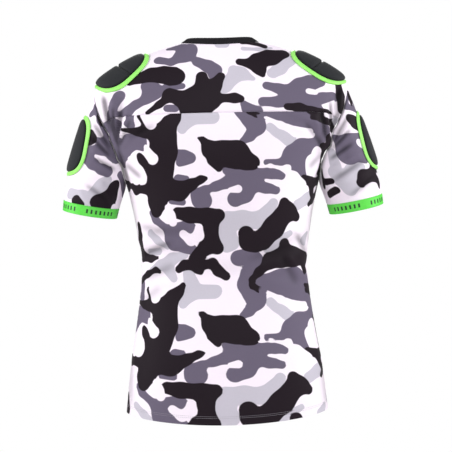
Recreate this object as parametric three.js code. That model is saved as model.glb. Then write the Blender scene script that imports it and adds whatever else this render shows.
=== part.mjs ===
// Rugby shoulder pads: a short-sleeved stretch jersey with a foam pad sewn over each shoulder and each
// upper arm. It keeps the shape it has when it is worn, with nobody in it: neck, hem and cuffs are open.
//
// Millimetres, +Z up, +Y to the wearer's front, +X to the wearer's right. The origin is the middle of the
// neck opening, level with the points where the neck band crosses the shoulders, where a wearer holds it up.
import * as THREE from "three";
import { mergeVertices } from "three/addons/utils/BufferGeometryUtils.js";

// Driving dimensions.
const clothWall = 1.6; // stretch jersey, as a wall stiff enough to stand for it
const hemWall = 2.4; // where the hem is turned up
const bandWall = 2.2; // folded neck band, and the elastic cuff
const seamGap = 0.3; // clear space between two pieces that are sewn together
const neckBandWidth = 13;
const cuffWidth = 19;
const padFoam = 9; // shoulder pad, at its fullest
const armPadFoam = 7.5;
const padEdge = 4; // a pad's height where its binding meets it
const bindingWidth = 7;
const bindingHeight = 3.4;
const padLift = 0.95; // a shoulder pad's flat facets stay this far off the curved cloth
const armPadLift = 1.35; // the same on the sleeve, which curves more
const bindingGap = 0.4; // clear space between a pad and its binding
const grooveGap = 0.4; // clear space between the two foam blocks, at the bottom of the groove

// The body as rings from the neck seam to the hem. Each ring has its height at the side, at the middle of the
// back and at the middle of the front, its half width, how far it reaches back and forward, and how square it
// is (2 is an ellipse). Rings 3 to 7 are cut open at the armholes.
const rings = [
  { at: "neck seam", side: 0, backZ: -10, frontZ: -66, half: 73, back: 64, front: 60, square: 2 },
  { at: "yoke", side: -15, backZ: -60, frontZ: -110, half: 124, back: 84, front: 84, square: 2 },
  { at: "shoulder", side: -44, backZ: -110, frontZ: -152, half: 186, back: 98, front: 102, square: 2.1 },
  { at: "shoulder tip", side: -80, backZ: -156, frontZ: -190, half: 233, back: 106, front: 112, square: 2.3 },
  { at: "upper armhole", side: -118, backZ: -196, frontZ: -224, half: 237, back: 109, front: 117, square: 2.4 },
  { at: "middle armhole", side: -172, backZ: -232, frontZ: -254, half: 218, back: 108, front: 119, square: 2.4 },
  { at: "lower armhole", side: -222, backZ: -264, frontZ: -280, half: 194, back: 104, front: 118, square: 2.4 },
  { at: "underarm", side: -260, backZ: -290, frontZ: -302, half: 180, back: 100, front: 116, square: 2.4 },
  { at: "ribs", side: -306, backZ: -326, frontZ: -334, half: 169, back: 93, front: 112, square: 2.4 },
  { at: "lower ribs", side: -352, backZ: -364, frontZ: -368, half: 161, back: 84, front: 106, square: 2.35 },
  { at: "waist", side: -402, backZ: -409, frontZ: -410, half: 154, back: 78, front: 101, square: 2.3 },
  { at: "below waist", side: -466, backZ: -471, frontZ: -470, half: 158, back: 82, front: 99, square: 2.3 },
  { at: "hip", side: -538, backZ: -544, frontZ: -541, half: 168, back: 95, front: 101, square: 2.3 },
  { at: "lower hip", side: -612, backZ: -621, frontZ: -615, half: 180, back: 106, front: 102, square: 2.3 },
  { at: "hem", side: -684, backZ: -700, frontZ: -688, half: 188, back: 110, front: 100, square: 2.3 },
];
const tipRing = 3;
const underarmRing = 7;
const hemRing = rings.length - 1;
const armholeOpen = THREE.MathUtils.degToRad(26); // how far round the body an armhole reaches, each way
const yokeArmholeRing = 4.4; // where the yoke seam meets the armhole
const yokeSeamZ = -138; // its height at the middle of the back
const hemTurnRing = hemRing - 0.24; // the hem is turned up 16 mm

// The sleeve's cuff seam: a ring across the arm, which hangs a little away from the body.
const cuffSeam = { x: 246, y: 2, z: -296.5, across: 53, deep: 51 };
const armTilt = THREE.MathUtils.degToRad(10.5); // the arm's lean away from the body
const cuffPitch = THREE.MathUtils.degToRad(5); // the cuff hangs lower at its back
const cuffTaper = 1.5; // the elastic is this much narrower in radius at its open end
const sleeveBulge = 0.25; // how far the sleeve swells to the back and front as it leaves the armhole

// The largest folds, as seen from behind or in front: each runs from (x1, z1) to (x2, z2). Reach is its half
// width across, and depth is how far it stands out, or sinks in if negative.
const folds = [
  { face: "back", x1: -213, z1: -98, x2: -203, z2: -168, reach: 7, depth: -5 },
  { face: "back", x1: -198, z1: -104, x2: -196, z2: -172, reach: 7, depth: 4 },
  { face: "back", x1: -178, z1: -112, x2: -190, z2: -176, reach: 8, depth: -4.5 },
  { face: "back", x1: -150, z1: -142, x2: -188, z2: -182, reach: 8, depth: 3.5 },
  { face: "back", x1: 214, z1: -98, x2: 206, z2: -170, reach: 7, depth: -5 },
  { face: "back", x1: 190, z1: -150, x2: 176, z2: -214, reach: 9, depth: -4 },
  { face: "back", x1: 128, z1: -140, x2: 190, z2: -166, reach: 8, depth: 3 },
  { face: "back", x1: -150, z1: -364, x2: -70, z2: -372, reach: 12, depth: 3 },
  { face: "back", x1: -152, z1: -392, x2: -84, z2: -384, reach: 10, depth: -3 },
  { face: "back", x1: 60, z1: -392, x2: 150, z2: -366, reach: 12, depth: -3.5 },
  { face: "back", x1: 70, z1: -418, x2: 150, z2: -396, reach: 12, depth: 3 },
  { face: "front", x1: -208, z1: -104, x2: -196, z2: -176, reach: 8, depth: -5 },
  { face: "front", x1: -160, z1: -150, x2: -188, z2: -196, reach: 9, depth: 3.5 },
  { face: "front", x1: 208, z1: -102, x2: 198, z2: -172, reach: 8, depth: -5 },
  { face: "front", x1: 164, z1: -146, x2: 190, z2: -192, reach: 9, depth: 3.5 },
  { face: "front", x1: -152, z1: -378, x2: -64, z2: -396, reach: 12, depth: -3 },
  { face: "front", x1: 66, z1: -384, x2: 152, z2: -372, reach: 12, depth: 3 },
  { face: "back", x1: -232, z1: -200, x2: -192, z2: -216, reach: 8, depth: 3 },
  { face: "back", x1: -222, z1: -262, x2: -206, z2: -288, reach: 7, depth: 2.5 },
  { face: "back", x1: 198, z1: -198, x2: 234, z2: -184, reach: 8, depth: 3 },
  { face: "back", x1: 200, z1: -276, x2: 262, z2: -236, reach: 7, depth: 2.5 },
  { face: "front", x1: -232, z1: -198, x2: -198, z2: -216, reach: 8, depth: 3 },
  { face: "front", x1: 198, z1: -214, x2: 232, z2: -196, reach: 8, depth: 3 },
];

// Pads. A shoulder pad is centred on a ring position and spans so many rings and so many degrees round the
// body each way. An arm pad is centred on a height and spans so many millimetres and so much of the sleeve. Shift
// is how many degrees a pad lies towards the back, and skew turns its outer or lower end further to the back.
// The garment hangs turned a little, so a left pad lies askew by so much more than that and a right pad by so much
// less, and a shoulder pad most at the arm. Groove is where the groove across a shoulder pad lies, as a share of
// its half length, towards the arm.
const shoulderPad = {
  centre: 2.09,
  halfRings: 0.79,
  halfTurn: 25.5,
  shift: 4.8,
  askew: 1.5,
  skew: 1.5,
  ringMm: 62,
  turnMm: 1.95,
  square: 2.9,
  groove: -0.08,
};
const armPad = {
  centre: -189,
  halfMm: 48,
  halfTurn: 37,
  shift: -2,
  askew: 6,
  skew: 12,
  turnMm: 0.9,
  square: 3.4,
};

// A smooth curve through one column of the ring table.
function ringValue(key, position) {
  const first = Math.min(Math.max(Math.floor(position), 0), hemRing - 1);
  const f = position - first;
  const value = (k) => rings[Math.min(Math.max(k, 0), hemRing)][key];
  const [a, b, c, d] = [value(first - 1), value(first), value(first + 1), value(first + 2)];
  const cubic = 3 * (b - c) + d - a;
  return 0.5 * (2 * b + (c - a) * f + (2 * a - 5 * b + 4 * c - d) * f * f + cubic * f * f * f);
}

// A point of the smooth body: turn is 0 at the wearer's right side, a quarter turn at the middle of the back.
function bodyPoint(turn, position) {
  const c = Math.cos(turn);
  const s = Math.sin(turn);
  const square = ringValue("square", position);
  const k = (Math.abs(c) ** square + Math.abs(s) ** square) ** (-1 / square);
  const [depth, endZ] = s > 0 ? ["back", "backZ"] : ["front", "frontZ"];
  const side = ringValue("side", position);
  const z = side + (ringValue(endZ, position) - side) * s * s;
  return new THREE.Vector3(ringValue("half", position) * k * c, -ringValue(depth, position) * k * s, z);
}

// How far the folds move a point of the cloth along its outward normal.
function foldHeight(point) {
  let height = 0;
  for (const fold of folds) {
    const side = fold.face === "back" ? -point.y : point.y;
    const shown = THREE.MathUtils.smoothstep(side, -5, 20);
    const [dx, dz] = [fold.x2 - fold.x1, fold.z2 - fold.z1];
    const along = ((point.x - fold.x1) * dx + (point.z - fold.z1) * dz) / (dx * dx + dz * dz);
    const held = THREE.MathUtils.clamp(along, 0, 1);
    const off = Math.hypot(point.x - fold.x1 - held * dx, point.z - fold.z1 - held * dz) / fold.reach;
    height += shown * fold.depth * Math.exp(-off * off);
  }
  return height;
}

// The outward normal of a surface given as a function of two parameters.
function normalOf(surface, a, b, away) {
  const step = 1e-3;
  const da = surface(a + step, b).sub(surface(a - step, b));
  const db = surface(a, b + step).sub(surface(a, b - step));
  const n = da.cross(db).normalize();
  return n.dot(away) < 0 ? n.negate() : n;
}

const bodyNormal = (turn, position) => {
  const p = bodyPoint(turn, position);
  return normalOf(bodyPoint, turn, position, new THREE.Vector3(p.x, p.y * 3, 60));
};

// The body's cloth, with its folds.
function cloth(turn, position) {
  const p = bodyPoint(turn, position);
  return p.addScaledVector(bodyNormal(turn, position), foldHeight(p));
}

// Half the armhole's reach round the body, at a ring position.
function armholeTurn(position) {
  const down = (position - tipRing) / (underarmRing - tipRing);
  return down <= 0 || down >= 1 ? 0 : armholeOpen * Math.sqrt(Math.sin(Math.PI * down));
}

// The armhole's edge: round is 0 at the shoulder tip, a half at the underarm; its first half is the back.
function armholeEdge(round, side) {
  const share = round - Math.floor(round);
  const down = share < 0.5 ? 2 * share : 2 - 2 * share;
  const position = tipRing + down * (underarmRing - tipRing);
  const turn = armholeTurn(position) * (share < 0.5 ? 1 : -1);
  return cloth(side > 0 ? turn : Math.PI - turn, position);
}

// How far the cuff hangs below its middle.
function cuffDrop(angle) {
  return cuffSeam.deep * Math.sin(angle) * Math.sin(cuffPitch);
}

// The cuff seam's point on the arm's ring, with the same round as the armhole.
function cuffPoint(round, side, down) {
  const angle = 2 * Math.PI * round;
  const radius = 1 - ((cuffTaper / cuffSeam.across) * down) / cuffWidth;
  const across = cuffSeam.across * radius * Math.cos(angle);
  return new THREE.Vector3(
    side * (cuffSeam.x + across * Math.cos(armTilt) + down * Math.sin(armTilt)),
    cuffSeam.y - cuffSeam.deep * radius * Math.sin(angle),
    cuffSeam.z + across * Math.sin(armTilt) - down * Math.cos(armTilt) - cuffDrop(angle),
  );
}

// The smooth sleeve: each line along it is a cubic from the armhole's edge to the cuff seam.
function sleevePoint(round, along, side) {
  const angle = 2 * Math.PI * round;
  const from = armholeEdge(round, side);
  const to = cuffPoint(round, side, 0);
  const length = from.distanceTo(to);
  const leave = new THREE.Vector3(side * (0.2 + 0.1 * Math.cos(angle)), -sleeveBulge * Math.sin(angle), -0.9);
  const arrive = new THREE.Vector3(side * Math.sin(armTilt), 0, -Math.cos(armTilt));
  const s = along;
  return from
    .multiplyScalar(2 * s ** 3 - 3 * s ** 2 + 1)
    .addScaledVector(leave, length * (s ** 3 - 2 * s ** 2 + s))
    .addScaledVector(to, 3 * s ** 2 - 2 * s ** 3)
    .addScaledVector(arrive, length * (s ** 3 - s ** 2));
}

// Away from the middle of the arm, for the sleeve's normals.
function sleeveNormal(round, along, side) {
  const angle = 2 * Math.PI * round;
  const away = new THREE.Vector3(side * Math.cos(angle), -Math.sin(angle), 0.2 * Math.cos(angle));
  return normalOf((a, b) => sleevePoint(a, b, side), round, along, away);
}

// The sleeve's cloth, with its folds fading out at the armhole seam and the cuff.
function sleeveCloth(round, along, side) {
  const p = sleevePoint(round, along, side);
  const free = Math.min(1, 6 * along) * Math.min(1, 8 * (1 - along));
  return p.addScaledVector(sleeveNormal(round, along, side), free * foldHeight(p));
}

// One closed solid from points and triangles. Points that meet are joined, and it is turned to face outwards.
function solid(points, triangles) {
  const soup = new THREE.BufferGeometry();
  const corners = triangles.flat().flatMap((i) => points[i].toArray());
  soup.setAttribute("position", new THREE.Float32BufferAttribute(corners, 3));
  const joined = mergeVertices(soup, 1e-3);
  const index = joined.index.array;
  const at = (i) => new THREE.Vector3().fromBufferAttribute(joined.attributes.position, i);
  const kept = [];
  let volume = 0;
  for (let i = 0; i < index.length; i += 3) {
    const [a, b, c] = index.slice(i, i + 3);
    if (a === b || b === c || c === a) continue;
    kept.push([a, b, c]);
    volume += at(a).dot(at(b).cross(at(c)));
  }
  joined.setIndex(kept.map((t) => (volume < 0 ? [t[0], t[2], t[1]] : t)).flat());
  joined.computeVertexNormals();
  return joined;
}

// A solid between two grids of points, such as a cloth's face and its back. A looped grid closes on itself
// along its rows, as a tube does.
function between(outer, inner, looped = false) {
  const rows = outer.length;
  const columns = outer[0].length;
  const points = [...outer.flat(), ...inner.flat()];
  const id = (layer, j, i) => layer * rows * columns + j * columns + (i % columns);
  const triangles = [];
  const quad = (a, b, c, d) => triangles.push([a, b, c], [a, c, d]);
  const spans = looped ? columns : columns - 1;
  for (let j = 0; j < rows - 1; j++)
    for (let i = 0; i < spans; i++) {
      quad(id(0, j, i), id(0, j + 1, i), id(0, j + 1, i + 1), id(0, j, i + 1));
      quad(id(1, j, i), id(1, j, i + 1), id(1, j + 1, i + 1), id(1, j + 1, i));
    }
  for (let i = 0; i < spans; i++) {
    quad(id(0, 0, i), id(0, 0, i + 1), id(1, 0, i + 1), id(1, 0, i));
    quad(id(0, rows - 1, i), id(1, rows - 1, i), id(1, rows - 1, i + 1), id(0, rows - 1, i + 1));
  }
  if (!looped)
    for (let j = 0; j < rows - 1; j++) {
      quad(id(0, j, 0), id(1, j, 0), id(1, j + 1, 0), id(0, j + 1, 0));
      const last = columns - 1;
      quad(id(0, j, last), id(0, j + 1, last), id(1, j + 1, last), id(1, j, last));
    }
  return solid(points, triangles);
}

// A grid of { point, normal } as a wall: its edges are drawn in by half a seam gap, and its back lies inside.
function wall(grid, thickness, looped = false) {
  const trimmed = grid.map((row) => row.map(({ point }) => point.clone()));
  const draw = (j, i, toJ, toI) => {
    const step = grid[toJ][toI].point.clone().sub(grid[j][i].point);
    trimmed[j][i].addScaledVector(step.normalize(), seamGap / 2);
  };
  const [lastJ, lastI] = [grid.length - 1, grid[0].length - 1];
  for (let i = 0; i <= lastI; i++) {
    draw(0, i, 1, i);
    draw(lastJ, i, lastJ - 1, i);
  }
  if (!looped)
    for (let j = 0; j <= lastJ; j++) {
      draw(j, 0, j, 1);
      draw(j, lastI, j, lastI - 1);
    }
  const back = trimmed.map((row, j) =>
    row.map((p, i) => p.clone().addScaledVector(grid[j][i].normal, -thickness(j))),
  );
  return between(trimmed, back, looped);
}

// Evenly spaced numbers from first to last.
function spaced(first, last, steps) {
  return Array.from({ length: steps + 1 }, (_, k) => first + ((last - first) * k) / steps);
}

// Ring positions of the rows, shared by every panel at its edges, so that seams have the same points.
const shoulderRows = spaced(0, tipRing, 8);
const upperArmholeRows = spaced(tipRing, yokeArmholeRing, 5).slice(1);
const lowerArmholeRows = spaced(yokeArmholeRing, underarmRing, 8).slice(1);
const sideRows = [...spaced(underarmRing, hemTurnRing, 18).slice(1), hemRing];
const yokeRows = [...shoulderRows, ...upperArmholeRows];
const lowerRows = [yokeArmholeRing, ...lowerArmholeRows, ...sideRows];
const frontRows = [...yokeRows, ...lowerArmholeRows, ...sideRows];
const backColumns = spaced(0, 1, 24);
const frontColumns = spaced(0, 1, 22);

// The body's cloth at a share of the way across a panel, from the wearer's right to the left.
function panelPoint(across, position, face) {
  const open = armholeTurn(position);
  const turn = (face === "back" ? 1 : -1) * (open + (Math.PI - 2 * open) * across);
  const point = cloth(turn, position);
  const away = new THREE.Vector3(point.x, point.y * 3, 60);
  return { point, normal: normalOf(cloth, turn, position, away) };
}

// The ring position of the yoke seam at a share of the way across: it is level over the middle of the back and
// drops towards the armholes, where it ends on a row that the front panel shares.
const armholeSeamZ = panelPoint(0, yokeArmholeRing, "back").point.z;
const yokeSeam = backColumns.map((across) => {
  const out = Math.abs(2 * across - 1);
  const height = yokeSeamZ + (armholeSeamZ - yokeSeamZ) * out ** 4;
  let [above, below] = [1, yokeArmholeRing];
  for (let pass = 0; pass < 30; pass++) {
    const middle = (above + below) / 2;
    if (panelPoint(across, middle, "back").point.z > height) above = middle;
    else below = middle;
  }
  return out > 0.999 ? yokeArmholeRing : above;
});

const yokeGrid = yokeRows.map((row) =>
  backColumns.map((across, i) => panelPoint(across, (row * yokeSeam[i]) / yokeArmholeRing, "back")),
);
const backGrid = lowerRows.map((row) =>
  backColumns.map((across, i) => {
    const share = (row - yokeArmholeRing) / (hemRing - yokeArmholeRing);
    return panelPoint(across, yokeSeam[i] + share * (hemRing - yokeSeam[i]), "back");
  }),
);
const frontGrid = frontRows.map((row) => frontColumns.map((across) => panelPoint(across, row, "front")));

// The neck band stands up from the neck seam and leans in over the shoulders.
function neckBandGrid() {
  const turns = [
    ...backColumns.slice(0, -1).map((across) => Math.PI * across),
    ...frontColumns.slice(0, -1).map((across) => Math.PI * (1 + across)),
  ];
  const stand = (turn, up) => {
    const p = bodyPoint(turn, 0);
    const s = Math.sin(turn);
    const lean = 0.83 - (s > 0 ? 0.46 : 0.2) * s * s; // over the shoulders it lies almost flat
    const inward = new THREE.Vector3(-p.x, -p.y, 0).normalize();
    p.addScaledVector(inward, lean * up + seamGap);
    p.z += Math.sqrt(1 - lean * lean) * up + seamGap;
    return p;
  };
  return spaced(0, neckBandWidth, 2).map((up) =>
    turns.map((turn) => {
      const point = stand(turn, up);
      return { point, normal: normalOf(stand, turn, up, new THREE.Vector3(point.x, point.y, 40)) };
    }),
  );
}

// The sleeve's columns are the armhole's own points, back rows first and then the front ones.
const armholeRounds = [...upperArmholeRows, ...lowerArmholeRows].map(
  (row) => (0.5 * (row - tipRing)) / (underarmRing - tipRing),
);
const sleeveRounds = [0, ...armholeRounds, ...armholeRounds.slice(0, -1).map((r) => 1 - r).reverse()];

function sleeveGrid(side) {
  const clear = new THREE.Vector3(side * seamGap, 0, -seamGap); // off the body, at the armhole seam
  return spaced(0, 1, 11).map((along) =>
    sleeveRounds.map((round) => {
      const point = sleeveCloth(round, along, side).addScaledVector(clear, 1 - along);
      return { point, normal: sleeveNormal(round, Math.max(along, 0.02), side) };
    }),
  );
}

function cuffGrid(side) {
  return spaced(0, cuffWidth, 2).map((down) =>
    sleeveRounds.map((round) => {
      const angle = 2 * Math.PI * round;
      const normal = new THREE.Vector3(
        side * Math.cos(angle) * Math.cos(armTilt),
        -Math.sin(angle),
        Math.cos(angle) * Math.sin(armTilt),
      );
      return { point: cuffPoint(round, side, down), normal };
    }),
  );
}

// Points over a pad's place: length and width run from -1 to 1 inside the pad's rounded outline, grow widens
// that outline in millimetres, and height is measured off the cloth.
function overShoulder(side) {
  return (length, width, grow, height) => {
    const position = shoulderPad.centre + (shoulderPad.halfRings + grow / shoulderPad.ringMm) * length;
    const spanned = (shoulderPad.halfTurn + grow / shoulderPad.turnMm) * width;
    const lying = shoulderPad.shift + shoulderPad.skew * length - side * shoulderPad.askew * (1 + length);
    const degrees = spanned + lying;
    const turn = THREE.MathUtils.degToRad(side > 0 ? degrees : 180 - degrees);
    return cloth(turn, position).addScaledVector(bodyNormal(turn, position), height);
  };
}

function overArm(side) {
  return (length, width, grow, height) => {
    const spanned = (armPad.halfTurn + grow / armPad.turnMm) * width;
    const lying = armPad.shift + armPad.skew * length - side * armPad.askew;
    const round = (spanned + lying) / 360;
    const z = armPad.centre - (armPad.halfMm + grow) * length;
    const top = armholeEdge(round, side).z;
    const along = (z - top) / (cuffPoint(round, side, 0).z - top);
    return sleeveCloth(round, along, side).addScaledVector(sleeveNormal(round, along, side), height);
  };
}

// The outline's point in a direction from the middle: a rounded box that is squarer the higher the number.
function outlinePoint(angle, square) {
  const [c, s] = [Math.cos(angle), Math.sin(angle)];
  const reach = (Math.abs(c) ** square + Math.abs(s) ** square) ** (-1 / square);
  return [reach * c, reach * s];
}

// Directions to the outline of a foam block that ends at the groove: ends is 1 for the block towards the arm,
// -1 for the one towards the neck.
function blockAngles(pad, ends) {
  const start = grooveEdge(pad, ends);
  const corner = Math.atan2((1 - Math.abs(start) ** pad.square) ** (1 / pad.square), start);
  return ends > 0 ? spaced(-corner, corner, 16) : spaced(corner, 2 * Math.PI - corner, 16);
}

function grooveEdge(pad, ends) {
  return pad.groove + (ends * grooveGap) / 2 / (pad.halfRings * pad.ringMm);
}

// A foam block from its straight edge at the groove to the pad's outline. It rises from its edges to its full
// height.
function foamBlock(over, pad, ends, foam, lift) {
  const halfMm = pad.halfRings * pad.ringMm;
  const start = grooveEdge(pad, ends);
  const angles = blockAngles(pad, ends);
  const shares = [0, 0.1, 0.3, 0.55, 0.78, 0.93, 1];
  const place = (share, angle) => {
    const [length, width] = outlinePoint(angle, pad.square);
    return [start + (length - start) * share, width];
  };
  const rise = (length, width) => {
    const rim = 1 - (Math.abs(length) ** pad.square + Math.abs(width) ** pad.square) ** (1 / pad.square);
    const fromGroove = Math.abs(length - pad.groove) * halfMm;
    const round = Math.min(1, Math.sqrt(Math.max(rim, 0) / 0.22)) * Math.min(1, 0.4 + fromGroove / 8);
    return padEdge + (foam - padEdge) * round;
  };
  const layer = (heightOf) =>
    shares.map((share) => angles.map((angle) => {
      const [length, width] = place(share, angle);
      return over(length, width, 0, heightOf(length, width));
    }));
  return between(layer(rise), layer(() => lift));
}

const wholeOutline = spaced(0, 2 * Math.PI, 32).slice(0, -1);

// A pad in one piece, as rings round its middle.
function foamPad(over, pad, foam, lift) {
  const angles = wholeOutline;
  const shares = [0, 0.22, 0.42, 0.62, 0.8, 0.93, 1];
  const layer = (heightOf) =>
    shares.map((share) => angles.map((angle) => {
      const [length, width] = outlinePoint(angle, pad.square);
      return over(length * share, width * share, 0, heightOf(share));
    }));
  const top = layer((share) => padEdge + (foam - padEdge) * Math.min(1, Math.sqrt((1 - share) / 0.2)));
  const bottom = layer(() => lift);
  return between(top, bottom, true);
}

// The binding round a pad: a flat tape, a little fuller along its middle, just outside the pad's outline.
function binding(over, pad, angles, lift) {
  const section = [
    { out: bindingGap, up: lift },
    { out: bindingGap, up: bindingHeight },
    { out: bindingWidth * 0.5, up: bindingHeight + 0.4 },
    { out: bindingWidth, up: bindingHeight * 0.55 },
    { out: bindingWidth, up: lift },
  ];
  const points = [];
  const triangles = [];
  angles.forEach((angle, k) => {
    const [length, width] = outlinePoint(angle, pad.square);
    section.forEach(({ out, up }, m) => {
      points.push(over(length, width, out, up));
      const n = section.length;
      const at = (kk, mm) => ((k + kk) % angles.length) * n + ((m + mm) % n);
      triangles.push([at(0, 0), at(1, 0), at(1, 1)], [at(0, 0), at(1, 1), at(0, 1)]);
    });
  });
  return solid(points, triangles);
}

// Materials.
const printedJersey = new THREE.MeshStandardMaterial({ color: "#9b97a3", roughness: 0.75, metalness: 0 });
const blackRib = new THREE.MeshStandardMaterial({ color: "#1d1d21", roughness: 0.85, metalness: 0 });
const greenTape = new THREE.MeshStandardMaterial({ color: "#8fe65c", roughness: 0.6, metalness: 0 });
const padCover = new THREE.MeshStandardMaterial({ color: "#303234", roughness: 0.8, metalness: 0 });

const part = new THREE.Group();
function add(name, geometry, material) {
  const mesh = new THREE.Mesh(geometry, material);
  mesh.name = name;
  part.add(mesh);
}

const plain = () => clothWall;
const turnedUp = (rows) => (j) => (j >= rows.length - 2 ? hemWall : clothWall);
add("back_yoke", wall(yokeGrid, plain), printedJersey);
add("back_panel", wall(backGrid, turnedUp(lowerRows)), printedJersey);
add("front_panel", wall(frontGrid, turnedUp(frontRows)), printedJersey);
add("neck_band", wall(neckBandGrid(), () => bandWall, true), blackRib);

for (const { side, word } of [{ side: 1, word: "right" }, { side: -1, word: "left" }]) {
  add(`sleeve_${word}`, wall(sleeveGrid(side), plain, true), printedJersey);
  add(`cuff_${word}`, wall(cuffGrid(side), () => bandWall, true), greenTape);
  const shoulder = overShoulder(side);
  const inner = foamBlock(shoulder, shoulderPad, -1, padFoam, padLift);
  const outer = foamBlock(shoulder, shoulderPad, 1, padFoam, padLift);
  add(`shoulder_pad_inner_${word}`, inner, padCover);
  add(`shoulder_pad_outer_${word}`, outer, padCover);
  const round = [...blockAngles(shoulderPad, 1), ...blockAngles(shoulderPad, -1).slice(1, -1)];
  add(`shoulder_binding_${word}`, binding(shoulder, shoulderPad, round, padLift), greenTape);
  const arm = overArm(side);
  add(`arm_pad_${word}`, foamPad(arm, armPad, armPadFoam, armPadLift), padCover);
  add(`arm_binding_${word}`, binding(arm, armPad, wholeOutline, armPadLift), greenTape);
}

export default part;
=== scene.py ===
import math

import bmesh
import bpy
import numpy as np
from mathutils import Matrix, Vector


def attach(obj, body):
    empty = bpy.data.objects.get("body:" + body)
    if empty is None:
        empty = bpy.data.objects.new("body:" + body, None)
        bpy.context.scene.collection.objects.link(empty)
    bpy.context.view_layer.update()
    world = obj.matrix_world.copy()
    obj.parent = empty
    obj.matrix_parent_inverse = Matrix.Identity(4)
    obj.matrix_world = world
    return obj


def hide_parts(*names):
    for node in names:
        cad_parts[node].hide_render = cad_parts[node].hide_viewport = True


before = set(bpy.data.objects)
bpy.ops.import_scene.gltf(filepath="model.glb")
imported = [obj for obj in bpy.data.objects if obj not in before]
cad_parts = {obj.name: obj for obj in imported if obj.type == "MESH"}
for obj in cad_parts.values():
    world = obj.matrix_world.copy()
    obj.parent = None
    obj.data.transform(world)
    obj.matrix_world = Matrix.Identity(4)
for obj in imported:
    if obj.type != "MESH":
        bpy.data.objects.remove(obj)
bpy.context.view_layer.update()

# Rugby shoulder pads, seen from behind: a short-sleeved stretch jersey with a foam pad bound in tape over each
# shoulder and each upper arm. Shapes are worked out in millimetres in the frame of the CAD model: +Z up, +Y to
# the wearer's front, +X to the wearer's right, and the origin in the middle of the neck opening.
mm = 0.001

# Camera: level, square to the back, and rolled a little, as the garment hangs a little askew.
view = {
    "distance": 2600,
    "across": 4.7,
    "height": -342.5,
    "roll": 1.2,
    "focal": 1390,  # in squares of the picture, which is 452 across
    "picture": 452,
    "sensor": 36,
}
cameraData = bpy.data.cameras.new("camera")
cameraData.sensor_width = view["sensor"]
cameraData.lens = view["focal"] / view["picture"] * view["sensor"]
cameraData.clip_end = 50
camera = bpy.data.objects.new("camera", cameraData)
camera.location = (view["across"] * mm, -view["distance"] * mm, view["height"] * mm)
camera.rotation_euler = (math.pi / 2, math.radians(view["roll"]), 0)
bpy.context.scene.collection.objects.link(camera)
bpy.context.scene.camera = camera
bpy.context.scene.view_settings.view_transform = "Standard"
print("camera in place")


# One small function adds a node with its settings and links. A key of inputs is a socket's name or number.
def addNode(tree, kind, inputs=None, **settings):
    made = tree.nodes.new(kind)
    for name, value in settings.items():
        setattr(made, name, value)
    for name, value in (inputs or {}).items():
        if isinstance(value, bpy.types.NodeSocket):
            tree.links.new(value, made.inputs[name])
        else:
            made.inputs[name].default_value = value
    return made


# An sRGB hex value as linear red, green, blue and alpha.
def linear(hexValue):
    parts = [int(hexValue[i : i + 2], 16) / 255 for i in (1, 3, 5)]
    return [c / 12.92 if c <= 0.04045 else ((c + 0.055) / 1.055) ** 2.4 for c in parts] + [1]


# Light: a white room, a large soft light on each side, and a weak one before and behind.
studio = {
    "ambient": 0.16,
    "sideLight": {"place": (2.1, -0.5, 0.5), "size": 0.9, "power": 40},
    "faceLight": {"place": (0.0, -2.6, 1.1), "size": 1.0, "power": 44},
    "aim": (0, 0, -0.35),
    "floorHeight": -1.5,  # the neck of a standing wearer is about this far above the floor
    "floorHalf": 4.0,
    "floorColour": "#EEEDEA",
    "floorGlow": 0.4,  # keeps the floor pale beyond the lights
}


def lightTheRoom():
    world = bpy.data.worlds.new("room")
    bpy.context.scene.world = world
    world.use_nodes = True
    tree = world.node_tree
    tree.nodes.clear()
    seen = addNode(tree, "ShaderNodeBackground", {"Color": (1, 1, 1, 1), "Strength": 1.0})
    lit = addNode(tree, "ShaderNodeBackground", {"Color": (1, 1, 1, 1), "Strength": studio["ambient"]})
    path = addNode(tree, "ShaderNodeLightPath")
    mixed = addNode(
        tree, "ShaderNodeMixShader", {0: path.outputs["Is Camera Ray"], 1: lit.outputs[0], 2: seen.outputs[0]}
    )
    addNode(tree, "ShaderNodeOutputWorld", {"Surface": mixed.outputs[0]})
    places = [(studio["sideLight"], 1, 1), (studio["sideLight"], -1, 1)]
    places += [(studio["faceLight"], 1, 1), (studio["faceLight"], 1, -1)]
    for light, across, along in places:
        data = bpy.data.lights.new("soft light", "AREA")
        data.size = light["size"]
        data.energy = light["power"]
        lamp = bpy.data.objects.new("soft light", data)
        x, y, z = light["place"]
        lamp.location = (x * across, y * along, z)
        towards = np.array(studio["aim"]) - np.array(lamp.location)
        lamp.rotation_mode = "QUATERNION"
        lamp.rotation_quaternion = Vector(towards).to_track_quat("-Z", "Y")
        bpy.context.scene.collection.objects.link(lamp)


def layTheFloor():
    half = studio["floorHalf"]
    corners = [(-half, -half), (half, -half), (half, half), (-half, half)]
    mesh = bpy.data.meshes.new("floor")
    mesh.from_pydata([(x, y, studio["floorHeight"]) for x, y in corners], [], [(0, 1, 2, 3)])
    floor = bpy.data.objects.new("floor", mesh)
    bpy.context.scene.collection.objects.link(floor)
    material = bpy.data.materials.new("pale studio floor")
    material.use_nodes = True
    shader = material.node_tree.nodes["Principled BSDF"]
    shader.inputs["Base Color"].default_value = linear(studio["floorColour"])
    shader.inputs["Roughness"].default_value = 0.9
    shader.inputs["Emission Color"].default_value = linear(studio["floorColour"])
    shader.inputs["Emission Strength"].default_value = studio["floorGlow"]
    mesh.materials.append(material)


lightTheRoom()
layTheFloor()
print("light and floor in place")

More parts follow.
